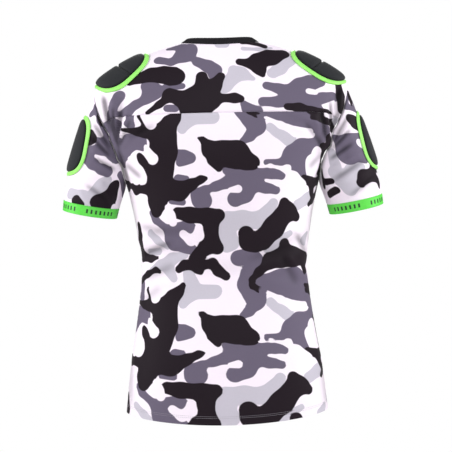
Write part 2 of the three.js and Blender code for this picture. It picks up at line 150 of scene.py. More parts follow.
# The body as rings from the neck seam to the hem, as the CAD model has them: the height at the side, at the
# middle of the back and of the front, the half width, the reach back and forward, and how square the ring is.
ringColumns = ["side", "backZ", "frontZ", "half", "back", "front", "square"]
rings = np.array([
    [0, -10, -66, 73, 64, 60, 2],  # neck seam
    [-15, -60, -110, 124, 84, 84, 2],  # yoke
    [-44, -110, -152, 186, 98, 102, 2.1],  # shoulder
    [-80, -156, -190, 233, 106, 112, 2.3],  # shoulder tip
    [-118, -196, -224, 237, 109, 117, 2.4],  # upper armhole
    [-172, -232, -254, 218, 108, 119, 2.4],  # middle armhole
    [-222, -264, -280, 194, 104, 118, 2.4],  # lower armhole
    [-260, -290, -302, 180, 100, 116, 2.4],  # underarm
    [-306, -326, -334, 169, 93, 112, 2.4],  # ribs
    [-352, -364, -368, 161, 84, 106, 2.35],  # lower ribs
    [-402, -409, -410, 154, 78, 101, 2.3],  # waist
    [-466, -471, -470, 158, 82, 99, 2.3],  # below waist
    [-538, -544, -541, 168, 95, 101, 2.3],  # hip
    [-612, -621, -615, 180, 106, 102, 2.3],  # lower hip
    [-684, -700, -688, 188, 110, 100, 2.3],  # hem
])
hemRing = len(rings) - 1
tipRing = 3
underarmRing = 7
yokeArmholeRing = 4.4
yokeSeamZ = -138
armholeOpen = math.radians(26)

cloth = {
    "wall": 1.6,
    "hemWall": 2.4,
    "hemTurn": 16,  # the hem is turned up this far
    "bandWall": 2.2,
    "seamGap": 0.3,
    "seamDip": 1.2,  # a seam pulls the cloth in this deep
    "seamReach": 1.8,
    "pucker": 0.35,  # small puckers beside a seam
    "puckerLength": 13,
    "puckerReach": 7,
    # Painted shade beside the armhole seam, darkened into the cloth's colour:
    "bunchReach": 4.5,  # the cloth is shaded this far from the armhole seam
    "bunchShade": 0.75,
    "bunchFrom": -100,  # but not above this height
    "bunchFade": 30,
    "alongRows": {"shoulder": 58, "armhole": 90, "side": 100},
    "panelColumns": 170,
    "sleeveColumns": 168,
    "sleeveRows": 78,
}
cuff = {
    "x": 246,
    "y": 2,
    "z": -296.5,
    "across": 53,
    "deep": 51,
    "pitch": math.radians(5),  # it hangs lower at its back
    "taper": 1.5,
    "width": 19,
    "ribPitch": 2.7,
    "ribHeight": 0.22,
    "edgeRound": 1.1,
    "girth": 320,  # the length round it that its dashes are laid on
    "columns": 150,
}
armTilt = math.radians(10.5)
sleeveBulge = 0.25
neckBand = {
    "width": 13,
    "ribs": 150,
    "ribHeight": 0.3,
    "lean": 0.83,  # at the shoulders, as a sine, and less at the back and front
    "backLean": 0.46,
    "frontLean": 0.2,
    "edgeRound": 1.2,
}

# The largest folds, as the CAD model has them: face (1 back, -1 front), x1, z1, x2, z2, half width across, and
# how far each stands out, or sinks in if negative.
folds = [
    (1, -213, -98, -203, -168, 7, -5),
    (1, -198, -104, -196, -172, 7, 4),
    (1, -178, -112, -190, -176, 8, -4.5),
    (1, -150, -142, -188, -182, 8, 3.5),
    (1, 214, -98, 206, -170, 7, -5),
    (1, 190, -150, 176, -214, 9, -4),
    (1, 128, -140, 190, -166, 8, 3),
    (1, -150, -364, -70, -372, 12, 3),
    (1, -152, -392, -84, -384, 10, -3),
    (1, 60, -392, 150, -366, 12, -3.5),
    (1, 70, -418, 150, -396, 12, 3),
    (-1, -208, -104, -196, -176, 8, -5),
    (-1, -160, -150, -188, -196, 9, 3.5),
    (-1, 208, -102, 198, -172, 8, -5),
    (-1, 164, -146, 190, -192, 9, 3.5),
    (-1, -152, -378, -64, -396, 12, -3),
    (-1, 66, -384, 152, -372, 12, 3),
    (1, -232, -200, -192, -216, 8, 3),
    (1, -222, -262, -206, -288, 7, 2.5),
    (1, 198, -198, 234, -184, 8, 3),
    (1, 200, -276, 262, -236, 7, 2.5),
    (-1, -232, -198, -198, -216, 8, 3),
    (-1, 198, -214, 232, -196, 8, 3),
]
# Smaller creases, in the same columns.
creases = [
    (1, -216, -100, -207, -152, 4, -4),
    (1, -204, -138, -188, -196, 3.4, -3.6),
    (1, -190, -196, -172, -262, 3.6, -2.8),
    (1, -208, -112, -201, -160, 3.2, 2.6),
    (1, -196, -122, -195, -172, 3, -3.4),
    (1, -189, -132, -192, -178, 2.8, 2.6),
    (1, -182, -128, -190, -184, 3, -3.4),
    (1, -171, -132, -188, -188, 3.4, 2.6),
    (1, -163, -146, -186, -192, 3.4, -2.8),
    (1, -140, -158, -182, -196, 4, 2),
    (1, -118, -158, -170, -178, 5, -1.8),
    (1, -176, -226, -148, -252, 4, -2.2),
    (1, -172, -244, -146, -262, 3.6, 1.8),
    (1, -196, -196, -160, -222, 4.5, 1.6),
    (1, 218, -92, 216, -150, 4, -4.2),
    (1, 214, -140, 200, -186, 3.2, -3.6),
    (1, 208, -108, 205, -156, 3, 2.8),
    (1, 199, -118, 201, -172, 3, -3.2),
    (1, 190, -134, 198, -182, 3, 2.6),
    (1, 181, -138, 192, -190, 3.2, -3),
    (1, 168, -150, 186, -200, 3.6, 2.2),
    (1, 152, -160, 184, -202, 4, -2),
    (1, 130, -166, 176, -190, 5, 1.6),
    (1, 192, -204, 172, -262, 3.6, -2.8),
    (1, 184, -212, 158, -240, 4.5, -2),
    (1, 180, -234, 150, -264, 4.5, 1.6),
    (1, -148, -414, -74, -376, 7, 3.2),
    (1, -150, -392, -96, -372, 5.5, -3),
    (1, -146, -436, -90, -412, 7, -2.4),
    (1, -150, -366, -118, -344, 5, 2),
    (1, -152, -340, -104, -352, 6, -2),
    (1, -146, -356, -60, -350, 9, -1.6),
    (1, -132, -446, -60, -440, 9, 1.6),
    (1, -152, -478, -116, -452, 7, -1.8),
    (1, 104, -400, 132, -452, 7, -2.6),
    (1, 118, -404, 146, -442, 5.5, 2.4),
    (1, 134, -360, 152, -398, 5, -2.6),
    (1, 128, -346, 142, -372, 5, 2),
    (1, 52, -384, 148, -352, 8, 2),
    (1, 40, -404, 128, -386, 8, -1.8),
    (1, 66, -440, 148, -462, 8, 1.6),
    (1, -60, -418, 40, -424, 14, -1.4),
    (1, -166, -560, -172, -660, 9, 1.8),
    (1, -176, -590, -180, -672, 6, -1.6),
    (1, 168, -570, 178, -664, 9, 1.8),
    (1, 178, -600, 184, -676, 6, -1.6),
    (-1, -146, -366, -50, -378, 7, 2.4),
    (-1, -150, -386, -92, -404, 6, -2.6),
    (-1, -148, -398, -70, -418, 7, 2),
    (-1, 58, -372, 150, -362, 7, -2.2),
    (-1, 60, -404, 148, -388, 7, 2.4),
    (-1, 92, -424, 150, -404, 6, -2.4),
    (-1, -170, -132, -190, -186, 3.6, -3.2),
    (-1, -182, -126, -194, -182, 3, 2.6),
    (-1, 172, -130, 191, -184, 3.6, -3.2),
    (-1, 184, -128, 195, -186, 3, 2.6),
    (-1, -140, -160, -182, -200, 4.5, -2.4),
    (-1, 142, -158, 184, -198, 4.5, -2.4),
    (-1, -40, -150, -120, -172, 9, 1.4),
    (-1, 44, -152, 118, -176, 9, 1.4),
    (1, -234, -150, -203, -196, 3.4, -2.8),
    (1, -238, -176, -204, -210, 3.4, -2.6),
    (1, -236, -164, -206, -202, 3, 2),
    (1, -232, -214, -196, -236, 3.6, -2.6),
    (1, -240, -234, -200, -256, 4, 2),
    (1, -250, -262, -214, -288, 4, -1.8),
    (1, -276, -250, -252, -290, 5, 1.6),
    (1, 232, -146, 205, -192, 3.4, -2.8),
    (1, 236, -170, 202, -206, 3.4, -2.6),
    (1, 238, -158, 206, -198, 3, 2),
    (1, 240, -196, 198, -224, 3.6, -2.4),
    (1, 258, -228, 204, -262, 4, -2),
    (1, 252, -214, 200, -240, 3.6, 1.8),
    (1, 282, -258, 232, -292, 4.5, -1.8),
    (-1, -238, -176, -206, -208, 3.6, -2.4),
    (-1, -256, -240, -212, -272, 4.5, 2),
    (-1, 238, -180, 206, -208, 3.6, -2.4),
    (-1, 256, -244, 212, -270, 4.5, 2),
]

padShape = {
    "shoulder": {"centre": 2.09, "halfRings": 0.79, "halfTurn": 25.5, "shift": 4.8, "askew": 1.5, "skew": 1.5,
                 "ringMm": 62, "turnMm": 1.95, "square": 2.9, "groove": -0.08, "foam": 9, "lift": 0.95},
    "arm": {"centre": -189, "halfMm": 48, "halfTurn": 37, "shift": -2, "askew": 6, "skew": 12, "turnMm": 0.9,
            "square": 3.4, "foam": 7.5, "lift": 1.35},
    "edge": 4,
    "crown": 0.3,  # the foam rises over this share of the way in from the outline
    "rimRound": 0.05,
    "rimDrop": 1.6,
    "rimDark": 0.07,
    "grooveGap": 0.4,
    "grooveRise": 6,
    "grooveRound": 1.6,
    "grooveDrop": 2.4,
    "across": 73,  # points along a shoulder block's outline
    "around": 112,  # points round an arm pad
    "inward": 34,
}
tape = {
    "gap": 0.4,
    "width": 7,
    "height": 3.4,
    "crown": 0.4,
    "out": (0, 0, 0.06, 0.2, 0.5, 0.75, 0.92, 1, 1),  # its section, as shares of the width and heights
    "rise": (2.6, 3.2, 3.6),
    "fall": (3.3, 2.7, 1.9),
    "columns": 180,
}
bindingStitch = {"stitch": 2.6, "gap": 0.9, "radius": 0.28}
hemStitch = {"stitch": 2.8, "gap": 0.8, "radius": 0.26}
hemStitchHeights = (12.5, 15.5)  # two rows, so far above the hem's edge


# One column of the ring table along a smooth curve (Catmull and Rom's) through its rows.
def ringValue(name, position):
    column = rings[:, ringColumns.index(name)]
    first = np.clip(np.floor(position).astype(int), 0, hemRing - 1)
    f = position - first
    a, b, c, d = (column[np.clip(first + k, 0, hemRing)] for k in (-1, 0, 1, 2))
    cubic = 3 * (b - c) + d - a
    return 0.5 * (2 * b + (c - a) * f + (2 * a - 5 * b + 4 * c - d) * f**2 + cubic * f**3)


# The smooth body: each ring is a superellipse whose height runs from the side's to the back's or front's with
# the square of the sine. Turn is 0 at the wearer's right side, and a quarter turn at the middle of the back.
def bodyPoint(turn, position):
    turn, position = np.broadcast_arrays(turn, position)
    c, s = np.cos(turn), np.sin(turn)
    square = ringValue("square", position)
    k = (np.abs(c) ** square + np.abs(s) ** square) ** (-1 / square)
    depth = np.where(s > 0, ringValue("back", position), ringValue("front", position))
    endZ = np.where(s > 0, ringValue("backZ", position), ringValue("frontZ", position))
    side = ringValue("side", position)
    return np.stack([ringValue("half", position) * k * c, -depth * k * s, side + (endZ - side) * s * s], -1)


# Each fold adds its depth times a bell curve of the distance from its line, seen from its own face. A small
# crease also fades towards its ends, with the fourth power of the way from its middle.
def foldHeight(points, table, fading=False):
    x, y, z = points[..., 0], points[..., 1], points[..., 2]
    height = np.zeros(x.shape)
    for face, x1, z1, x2, z2, reach, depth in table:
        shown = np.clip((-face * y + 5) / 25, 0, 1)
        dx, dz = x2 - x1, z2 - z1
        along = np.clip(((x - x1) * dx + (z - z1) * dz) / (dx * dx + dz * dz), 0, 1)
        off = np.hypot(x - x1 - along * dx, z - z1 - along * dz) / reach
        held = 1 - 0.8 * (2 * along - 1) ** 4 if fading else 1
        height += shown**2 * (3 - 2 * shown) * held * depth * np.exp(-(off**2))
    return height


def allHeights(points, creased):
    return foldHeight(points, folds) + (foldHeight(points, creases, True) if creased else 0)


# How much painted shade darkens a point's colour in the trough it lies in: deep troughs are narrower than the
# mesh can show. A trough is darker the steeper it is, and the shade is a share of its width.
troughs = {"crease": {"width": 1.15, "dark": 1.5}, "fold": {"width": 0.7, "dark": 0.7}}


def troughShade(points):
    sunk = []
    for table, shade in ((creases, troughs["crease"]), (folds, troughs["fold"])):
        for row in table:
            reach, depth = row[5:]
            if depth < 0:
                sunk.append(row[:5] + (reach * shade["width"], min(1, shade["dark"] * -depth / reach)))
    return np.clip(foldHeight(points, sunk, True), 0, 1)


# The outward normal of a surface of two parameters, from small steps along each.
def normalOf(surface, a, b, away):
    step = 1e-3
    normal = np.cross(surface(a + step, b) - surface(a - step, b), surface(a, b + step) - surface(a, b - step))
    normal /= np.linalg.norm(normal, axis=-1, keepdims=True) + 1e-12
    return np.where((normal * away).sum(-1, keepdims=True) < 0, -normal, normal)


def bodyNormal(turn, position):
    p = bodyPoint(turn, position)
    away = np.stack([p[..., 0], 3 * p[..., 1], np.full(p.shape[:-1], 60.0)], -1)
    return normalOf(bodyPoint, turn, position, away)


# The body's cloth: the smooth body moved along its normal by the folds, and by the small creases too.
def bodyCloth(turn, position, creased=True):
    p = bodyPoint(turn, position)
    height = allHeights(p, creased)
    return p + bodyNormal(turn, position) * height[..., None]


def armholeTurn(position):
    down = np.clip((position - tipRing) / (underarmRing - tipRing), 0, 1)
    return armholeOpen * np.sqrt(np.clip(np.sin(np.pi * down), 0, 1)) * ((down > 0) & (down < 1))


# The armhole's edge: around is 0 at the shoulder tip and a half at the underarm, and its first half is the back.
def armholeEdge(around, side, creased=True):
    share = around - np.floor(around)
    down = np.where(share < 0.5, 2 * share, 2 - 2 * share)
    position = tipRing + down * (underarmRing - tipRing)
    turn = armholeTurn(position) * np.where(share < 0.5, 1, -1)
    return bodyCloth(turn if side > 0 else np.pi - turn, position, creased)


def cuffPoint(around, side, down):
    angle = 2 * np.pi * around
    radius = 1 - (cuff["taper"] / cuff["across"]) * down / cuff["width"]
    across = cuff["across"] * radius * np.cos(angle)
    drop = cuff["deep"] * np.sin(angle) * math.sin(cuff["pitch"])
    return np.stack([
        side * (cuff["x"] + across * math.cos(armTilt) + down * math.sin(armTilt)),
        cuff["y"] - cuff["deep"] * radius * np.sin(angle),
        cuff["z"] + across * math.sin(armTilt) - down * math.cos(armTilt) - drop,
    ], -1)


# The smooth sleeve: each line along it is a cubic from the armhole's edge to the cuff seam.
def sleevePoint(around, along, side, creased=True):
    around, along = np.broadcast_arrays(around, along)
    angle = 2 * np.pi * around
    start = armholeEdge(around, side, creased)
    end = cuffPoint(around, side, np.zeros(around.shape))
    length = np.linalg.norm(end - start, axis=-1, keepdims=True)
    leave = np.stack([
        side * (0.2 + 0.1 * np.cos(angle)), -sleeveBulge * np.sin(angle), np.full(angle.shape, -0.9)
    ], -1)
    arrive = np.array([side * math.sin(armTilt), 0, -math.cos(armTilt)])
    s = along[..., None]
    return (
        start * (2 * s**3 - 3 * s**2 + 1) + leave * length * (s**3 - 2 * s**2 + s)
        + end * (3 * s**2 - 2 * s**3) + arrive * length * (s**3 - s**2)
    )


def sleeveNormal(around, along, side, creased=True):
    around, along = np.broadcast_arrays(around, along)
    angle = 2 * np.pi * around
    away = np.stack([side * np.cos(angle), -np.sin(angle), 0.2 * np.cos(angle)], -1)
    return normalOf(lambda a, b: sleevePoint(a, b, side, creased), around, along, away)


# The sleeve's cloth: its folds fade out at the armhole seam and the cuff.
def sleeveCloth(around, along, side, creased=True):
    p = sleevePoint(around, along, side, creased)
    free = np.minimum(1, 6 * along) * np.minimum(1, 8 * (1 - along))
    height = free * allHeights(p, creased)
    return p + sleeveNormal(around, along, side, creased) * height[..., None]


# Evenly spaced numbers, with a few more close to each end, where a seam turns in.
def spread(first, last, steps, edge):
    close = edge * np.array([0.3, 0.7, 1.4])
    return np.unique(np.concatenate([np.linspace(first, last, steps + 1), first + close, last - close]))


# A quarter circle's rise, from 0 at 0 to 1 at 1 and beyond.
def quarterRound(share):
    return np.sqrt(1 - (1 - np.clip(share, 0, 1)) ** 2)


# A grid's outward normals, from its own neighbouring points.
def gridNormals(grid, away, looped=False):
    wide = np.concatenate([grid[:, -1:], grid, grid[:, :1]], 1) if looped else grid
    down = np.gradient(wide, axis=0)
    across = np.gradient(wide, axis=1)
    normal = np.cross(down, across)
    normal = normal[:, 1:-1] if looped else normal
    normal /= np.linalg.norm(normal, axis=-1, keepdims=True) + 1e-12
    return normal if (normal * away).sum() > 0 else -normal


# A closed shell between an outer and an inner grid, as points and quads.
def shellFaces(rows, columns, looped):
    index = np.arange(rows * columns).reshape(rows, columns)
    if looped:
        index = np.concatenate([index, index[:, :1]], 1)
    under = index + rows * columns
    corners = lambda g: (g[:-1, :-1], g[1:, :-1], g[1:, 1:], g[:-1, 1:])
    quads = [np.stack(corners(index), -1).reshape(-1, 4), np.stack(corners(under)[::-1], -1).reshape(-1, 4)]
    quads.append(np.stack([index[0, :-1], index[0, 1:], under[0, 1:], under[0, :-1]], -1))
    quads.append(np.stack([index[-1, :-1], under[-1, :-1], under[-1, 1:], index[-1, 1:]], -1))
    if not looped:
        quads.append(np.stack([index[:-1, 0], under[:-1, 0], under[1:, 0], index[1:, 0]], -1))
        quads.append(np.stack([index[:-1, -1], index[1:, -1], under[1:, -1], under[:-1, -1]], -1))
    return np.concatenate(quads)


# A mesh object from points in millimetres and quads, turned to face outwards by its signed volume.
def meshPiece(name, points, quads, material):
    a, b, c, d = (points[quads[:, k]] for k in range(4))
    volume = (a * np.cross(b, c)).sum() + (a * np.cross(c, d)).sum()
    quads = quads if volume > 0 else quads[:, ::-1]
    mesh = bpy.data.meshes.new(name)
    mesh.vertices.add(len(points))
    mesh.vertices.foreach_set("co", (points * mm).astype(np.float32).ravel())
    mesh.loops.add(quads.size)
    mesh.loops.foreach_set("vertex_index", quads.astype(np.int32).ravel())
    mesh.polygons.add(len(quads))
    mesh.polygons.foreach_set("loop_start", np.arange(0, quads.size, 4, dtype=np.int32))
    mesh.update(calc_edges=True)
    mesh.polygons.foreach_set("use_smooth", np.ones(len(mesh.polygons), bool))
    mesh.materials.append(material)
    piece = bpy.data.objects.new(name, mesh)
    bpy.context.scene.collection.objects.link(piece)
    return piece


# A closed piece between an outer and an inner grid.
def shellPiece(name, outer, inner, looped, material):
    points = np.concatenate([outer.reshape(-1, 3), inner.reshape(-1, 3)])
    return meshPiece(name, points, shellFaces(*outer.shape[:2], looped), material)


# Joins the points that meet, as at the middle of a pad.
def mergePoints(piece):
    work = bmesh.new()
    work.from_mesh(piece.data)
    bmesh.ops.remove_doubles(work, verts=work.verts, dist=0.02 * mm)
    work.to_mesh(piece.data)
    work.free()


def setAttribute(piece, name, values, kind="FLOAT"):
    attribute = piece.data.attributes.new(name, kind, "POINT")
    attribute.data.foreach_set("value" if kind == "FLOAT" else "vector", np.ravel(values).astype(np.float32))


# How far each point of a grid is from one of its edges, measured along the cloth.
def fromEdge(grid, edge):
    along = grid if edge in ("top", "bottom") else grid.transpose(1, 0, 2)
    along = along if edge in ("top", "right") else along[::-1]
    steps = np.linalg.norm(np.diff(along, axis=0), axis=-1)
    gone = np.concatenate([np.zeros((1, along.shape[1])), np.cumsum(steps, 0)])
    gone = gone if edge in ("top", "right") else gone[::-1]
    return gone if edge in ("top", "bottom") else gone.T


# A cloth wall: its edges are drawn in by half a seam gap and dip at the seams, with small puckers beside them.
def clothWall(grid, normals, thickness, seams, looped=False):
    outer = grid.copy()
    pulled = np.zeros(grid.shape[:2])
    for edge in seams:
        gone = fromEdge(grid, edge)
        other = fromEdge(grid, "right" if edge in ("top", "bottom") else "top")
        pulled -= cloth["seamDip"] * np.exp(-((gone / cloth["seamReach"]) ** 2))
        wave = np.sin(other * 2 * np.pi / cloth["puckerLength"] + 1.7 * np.sin(other / 31))
        pulled += cloth["pucker"] * wave * np.exp(-gone / cloth["puckerReach"]) * np.minimum(1, gone / 2)
    outer += normals * pulled[..., None]
    gap = cloth["seamGap"] / 2
    pull = lambda a, b: gap * (b - a) / (np.linalg.norm(b - a, axis=-1, keepdims=True) + 1e-9)
    outer[0] += pull(grid[0], grid[1])
    outer[-1] += pull(grid[-1], grid[-2])
    if not looped:
        outer[:, 0] += pull(grid[:, 0], grid[:, 1])
        outer[:, -1] += pull(grid[:, -1], grid[:, -2])
    inner = outer - normals * (thickness + pulled)[..., None]
    return outer, inner


# The camouflage, charted over one repeat of the back, and once over the yoke and each sleeve. A patch is a run
# of soft strokes: each entry is across, down and radius, in squares of the chart. White goes over the rest.
# Some strokes beside the armholes are painted shadow, some of them over print; each is marked where it stands.
camouflage = {
    "middle": 223.5,  # the square that the middle of the back lies on
    "level": 230,  # the square at the height below
    "height": -350,
    "squares": 1390,  # squares across at a distance of one, so one is about 1.8 mm on the back
    "distance": 2600,
    "squareMm": 1.8,
    "repeat": (520, 315),  # millimetres across and down
    "blend": 7.0,  # strokes run together over this many millimetres
    "swell": 0.8,  # which adds about this to each stroke
    "far": 30.0,  # distances to a patch are cut off here
    "margin": 12,
    "frontShift": (140, 170),
    "mirrorDrop": 46,  # a sleeve's front half mirrors its back's print, this far down
}
backPatches = {
    "black": [
        [(171, 121, 8), (165, 135, 14), (165, 150, 14.5), (161, 168, 14.5), (160, 185, 14), (158, 200, 11),
         (157, 210, 7)],
        [(165, 187, 12), (180, 190, 10), (192, 184, 6), (202, 179, 4), (207, 178, 2.5)],
        [(158, 132, 8), (146, 130, 6), (139, 130, 4), (124, 128, 2)],
        [(151, 167, 6), (143, 158, 4.5), (141, 154, 3.8)],
        [(150, 188, 6), (138, 187, 4), (130, 182, 3)],
        [(200, 137, 1.5), (205, 139, 3), (212, 149, 9), (225, 153, 13), (238, 155, 14.5), (248, 161, 9),
         (254, 163, 8)],
        [(214, 160, 6), (220, 168, 4)],
        [(305, 181, 5.5), (315, 184, 4.5), (325, 183, 5)],
        # Black print under the right armhole, widened into its shadow: partly print, partly painted shadow.
        [(324, 148, 4), (324, 162, 4.5), (323, 180, 7), (318, 192, 5.5), (313, 201, 4), (309, 206, 3)],
        [(285, 204, 6), (290, 213, 9), (296, 218, 5.5)],
        [(285, 214, 10.5), (274, 228, 11.5), (263, 240, 10.5), (254, 243, 9.5)],
        [(246, 234, 8.5), (248, 242, 9), (256, 246, 7)],
        [(284, 245, 6.5), (286, 252, 8)],
        [(270, 261, 9), (281, 259, 10), (293, 258, 10.5), (304, 260, 7.5)],
        [(268, 264, 6), (258, 272, 4.5), (251, 280, 3), (251, 286, 2.8), (257, 292, 1.5)],
        [(303, 268, 3.5), (305, 273, 2.5)],
        [(303, 287, 2.5), (310, 288, 3)],
        [(178, 212, 6.5), (190, 214, 8), (208, 216, 8.5), (219, 215, 7)],
        [(212, 220, 9), (210, 232, 8), (211, 243, 9.5), (217, 248, 7)],
        [(207, 245, 9), (198, 254, 6.5), (192, 257, 4.5)],
        [(178, 268, 4.5), (184, 264, 5), (196, 266, 5), (212, 263, 5), (217, 270, 5.5), (225, 276, 5)],
        [(198, 270, 4.5), (200, 272, 3.2)],
        [(182, 284, 3.5), (177, 292, 6), (171, 298, 8)],
        [(314, 119, 2.5), (322, 121, 3.5), (332, 126, 4.5), (336, 134, 4)],
        [(256, 111, 1.5), (262, 114, 1.5)],
    ],
    "grey": [
        [(130, 139, 8.5), (141, 140, 8.5), (145, 146, 4)],
        [(130, 145, 8), (127, 152, 5), (126, 158, 3)],
        [(114, 119, 6), (122, 124, 6)],
        [(134, 124, 3), (128, 121, 3)],
        [(117, 128, 8), (119, 140, 8), (121, 152, 7), (125, 161, 5)],
        [(177, 152, 5), (186, 156, 7), (192, 157, 5), (181, 162, 4)],
        [(180, 178, 5.5), (187, 178, 4)],
        [(172, 200, 3.5), (183, 201, 4)],
        [(202, 199, 10.5), (203, 200, 10)],
        [(197, 193, 6), (206, 189, 4), (218, 186, 4), (228, 183, 4.5)],
        [(228, 170, 5), (240, 177, 8.5), (254, 177, 9)],
        [(258, 174, 6), (272, 174, 5.5), (282, 176, 5.5)],
        [(254, 184, 7), (266, 188, 6), (277, 191, 5)],
        [(254, 184, 8), (246, 195, 8), (236, 199, 8.5)],
        [(240, 180, 6), (228, 182, 5.5), (216, 186, 4.5)],
        [(247, 110, 8), (257, 117, 9), (259, 126, 8.5), (252, 136, 5.5), (245, 141, 4)],
        [(265, 111, 4.5), (280, 114, 6), (300, 119, 8.5), (318, 124, 9), (325, 135, 8)],
        [(325, 135, 8), (318, 146, 7), (303, 150, 10), (293, 156, 9.5), (283, 163, 3.5), (268, 163, 3.5)],
        [(300, 160, 9), (300, 172, 8), (303, 178, 6)],
        [(172, 232, 9), (174, 240, 9.5), (184, 244, 8), (192, 249, 6)],
        [(176, 228, 7), (188, 226, 7), (192, 229, 6)],
        [(152, 211, 3.5), (156, 218, 4), (166, 227, 4.5)],
        [(238, 258, 8.5), (250, 256, 9), (256, 260, 7.5)],
        [(256, 266, 7), (247, 274, 7.5), (244, 284, 7.5), (250, 294, 8), (256, 303, 8)],
        [(264, 283, 9), (280, 284, 14), (294, 283, 15.5), (302, 286, 12)],
    ],
    "light": [
        [(188, 273, 6.5), (190, 283, 7.5), (188, 294, 8), (182, 302, 5.5)],
        [(192, 291, 8), (214, 292, 7.5)],
        [(272, 128, 5), (280, 131, 7), (291, 140, 8)],
        [(274, 204, 5.5), (268, 213, 7), (257, 221, 8.5), (243, 220, 9.5), (228, 221, 10)],
        [(226, 223, 11), (225, 233, 10), (231, 242, 9)],
        [(226, 247, 6)],
        [(267, 250, 5), (276, 248, 5.5), (281, 240, 5), (290, 234, 3.5)],
        [(303, 242, 5.5), (306, 236, 4)],
        [(298, 206, 6), (307, 201, 6), (313, 193, 4)],
        [(184, 254, 4.5), (172, 258, 6), (160, 264, 5), (150, 268, 3)],
        [(168, 268, 7), (173, 277, 4.5)],
        [(150, 231, 4), (157, 239, 4), (167, 246, 3)],
        [(150, 250, 4), (159, 250, 4)],
        [(305, 262, 2.5)],
    ],
    "white": [
        [(148, 145, 3), (150, 152, 4.5), (154, 157, 6.5)],
        [(134, 160, 7), (137, 170, 9), (137, 175, 8.5)],
        [(149, 112, 7), (153, 122, 6.5)],
        [(183, 233, 4.5), (191, 240, 5), (198, 235, 5.5), (199, 227, 4.5)],
        [(231, 190, 3), (239, 189, 4.5)],
        [(267, 181, 2), (279, 184, 3), (292, 187, 6)],
        [(260, 167.5, 1.5), (272, 166.5, 1.8), (285, 170, 2.5), (295, 179, 6), (301, 188, 9)],
        [(317, 157, 9), (316, 166, 10), (317, 171, 8.5)],
        [(268, 118, 2), (283, 126, 3.5), (298, 133, 5), (312, 134.5, 4.8)],
        [(168, 206, 3.5), (170, 214, 5.5), (173, 221, 5)],
    ],
}
yokePatches = {
    "black": [
        [(133, 81, 4), (144, 76, 7), (154, 73, 9), (166, 73, 10.5), (176, 75, 11), (180, 76, 9)],
        [(172, 93, 7.5), (185, 98, 9), (200, 97, 14), (214, 100, 11)],
        [(205, 76, 6.5), (206, 88, 10)],
        [(224, 76, 5), (217, 86, 8), (212, 92, 9)],
        [(222, 98, 5), (238, 98, 5.5), (243, 99, 4.5)],
        [(173, 95, 6), (162, 103, 4), (150, 111, 2.8)],
        [(190, 108, 9), (209, 107, 8)],
        [(243, 62, 4.5), (254, 64, 6), (263, 70, 7), (266, 76, 3)],
        [(262, 61, 10), (274, 58, 10.5), (287, 55, 7)],
        [(246, 41, 3), (257, 43, 4.5), (268, 47, 4)],
        [(290, 108, 4.5), (302, 109, 5.5), (315, 112, 4), (330, 118, 4)],
        # Black along the right armhole seam: partly print, partly painted shadow of the seam's fold.
        [(341, 86, 4), (343, 98, 4.5), (344, 112, 4.5)],
    ],
    "grey": [
        [(162, 59, 5.5), (175, 61, 4.5), (189, 53, 11), (191, 50, 11)],
        [(172, 48, 3), (184, 46, 6)],
        [(201, 61, 6), (212, 66, 7), (218, 70, 7), (216, 75, 5)],
        [(152, 84, 9), (155, 90, 10.5), (152, 94, 8)],
        [(148, 98, 6), (138, 103, 5), (130, 109, 6), (124, 116, 6)],
        [(170, 86, 5), (185, 85, 4)],
        [(122, 94, 7), (117, 101, 5), (114, 108, 5), (114, 117, 5)],
        [(170, 107, 4.5), (178, 107, 4.5)],
        [(270, 86, 5), (282, 90, 6), (292, 94, 9), (305, 88, 11), (314, 84, 9), (322, 84, 7)],
        [(266, 102, 5.5), (280, 103, 6), (296, 101, 10), (312, 103, 9), (325, 100, 6), (338, 99, 5)],
        [(246, 104, 4), (251, 109, 6), (260, 113, 6)],
        [(300, 106, 4), (320, 112, 6), (325, 117, 4)],
    ],
    "light": [
        [(223, 44, 5), (229, 44, 5)],
        [(247, 49, 3), (262, 50, 2.5), (275, 49, 2)],
        [(237, 70, 6), (244, 74, 8), (256, 79, 3)],
        [(236, 78, 8), (228, 86, 7), (224, 90, 5.5)],
        [(276, 74, 6.5), (283, 70, 7), (292, 63, 6), (298, 60, 6)],
    ],
    "white": [[(312, 93, 4), (318, 94, 3.5)]],
}
# The sides, which the chart doesn't reach: each entry is across, down and radius in millimetres on the flat
# back panel, and across is measured from its middle.
sidePatches = {
    "black": [
        [(-262, 268, 17), (-228, 262, 13), (-200, 266, 10)],
        [(-168, 262, 8), (-172, 274, 9)],
        [(-176, 338, 7), (-170, 362, 9), (-178, 392, 9)],
        [(-200, 388, 9), (-170, 396, 9), (-140, 400, 6), (-125, 398, 3)],
        [(-252, 296, 8), (-252, 318, 8)],
        [(-172, 440, 7), (-150, 428, 5.5), (-130, 420, 4.5), (-122, 424, 3.5)],
        [(-148, 456, 5), (-134, 474, 7), (-120, 490, 9)],
        [(176, 268, 9), (180, 284, 8)],
        [(160, 404, 5), (162, 430, 5)],
        [(212, 186, 9), (214, 214, 12), (204, 240, 12)],
        [(228, 376, 9), (222, 386, 8)],
        [(206, 428, 7), (232, 444, 12), (250, 448, 10)],
    ],
    "grey": [
        [(-236, 150, 16), (-222, 196, 12), (-230, 224, 9)],
        [(-234, 300, 8), (-226, 340, 10), (-222, 372, 9)],
        [(-168, 446, 9), (-166, 470, 8)],
        [(-210, 430, 10), (-232, 436, 13)],
        [(172, 440, 8), (176, 470, 8)],
        [(240, 190, 17), (222, 222, 10)],
        [(246, 398, 17), (216, 392, 12)],
    ],
    "light": [
        [(-250, 345, 12), (-214, 300, 8)],
        [(236, 150, 13), (258, 166, 12)],
        [(204, 350, 10), (232, 344, 10)],
    ],
}
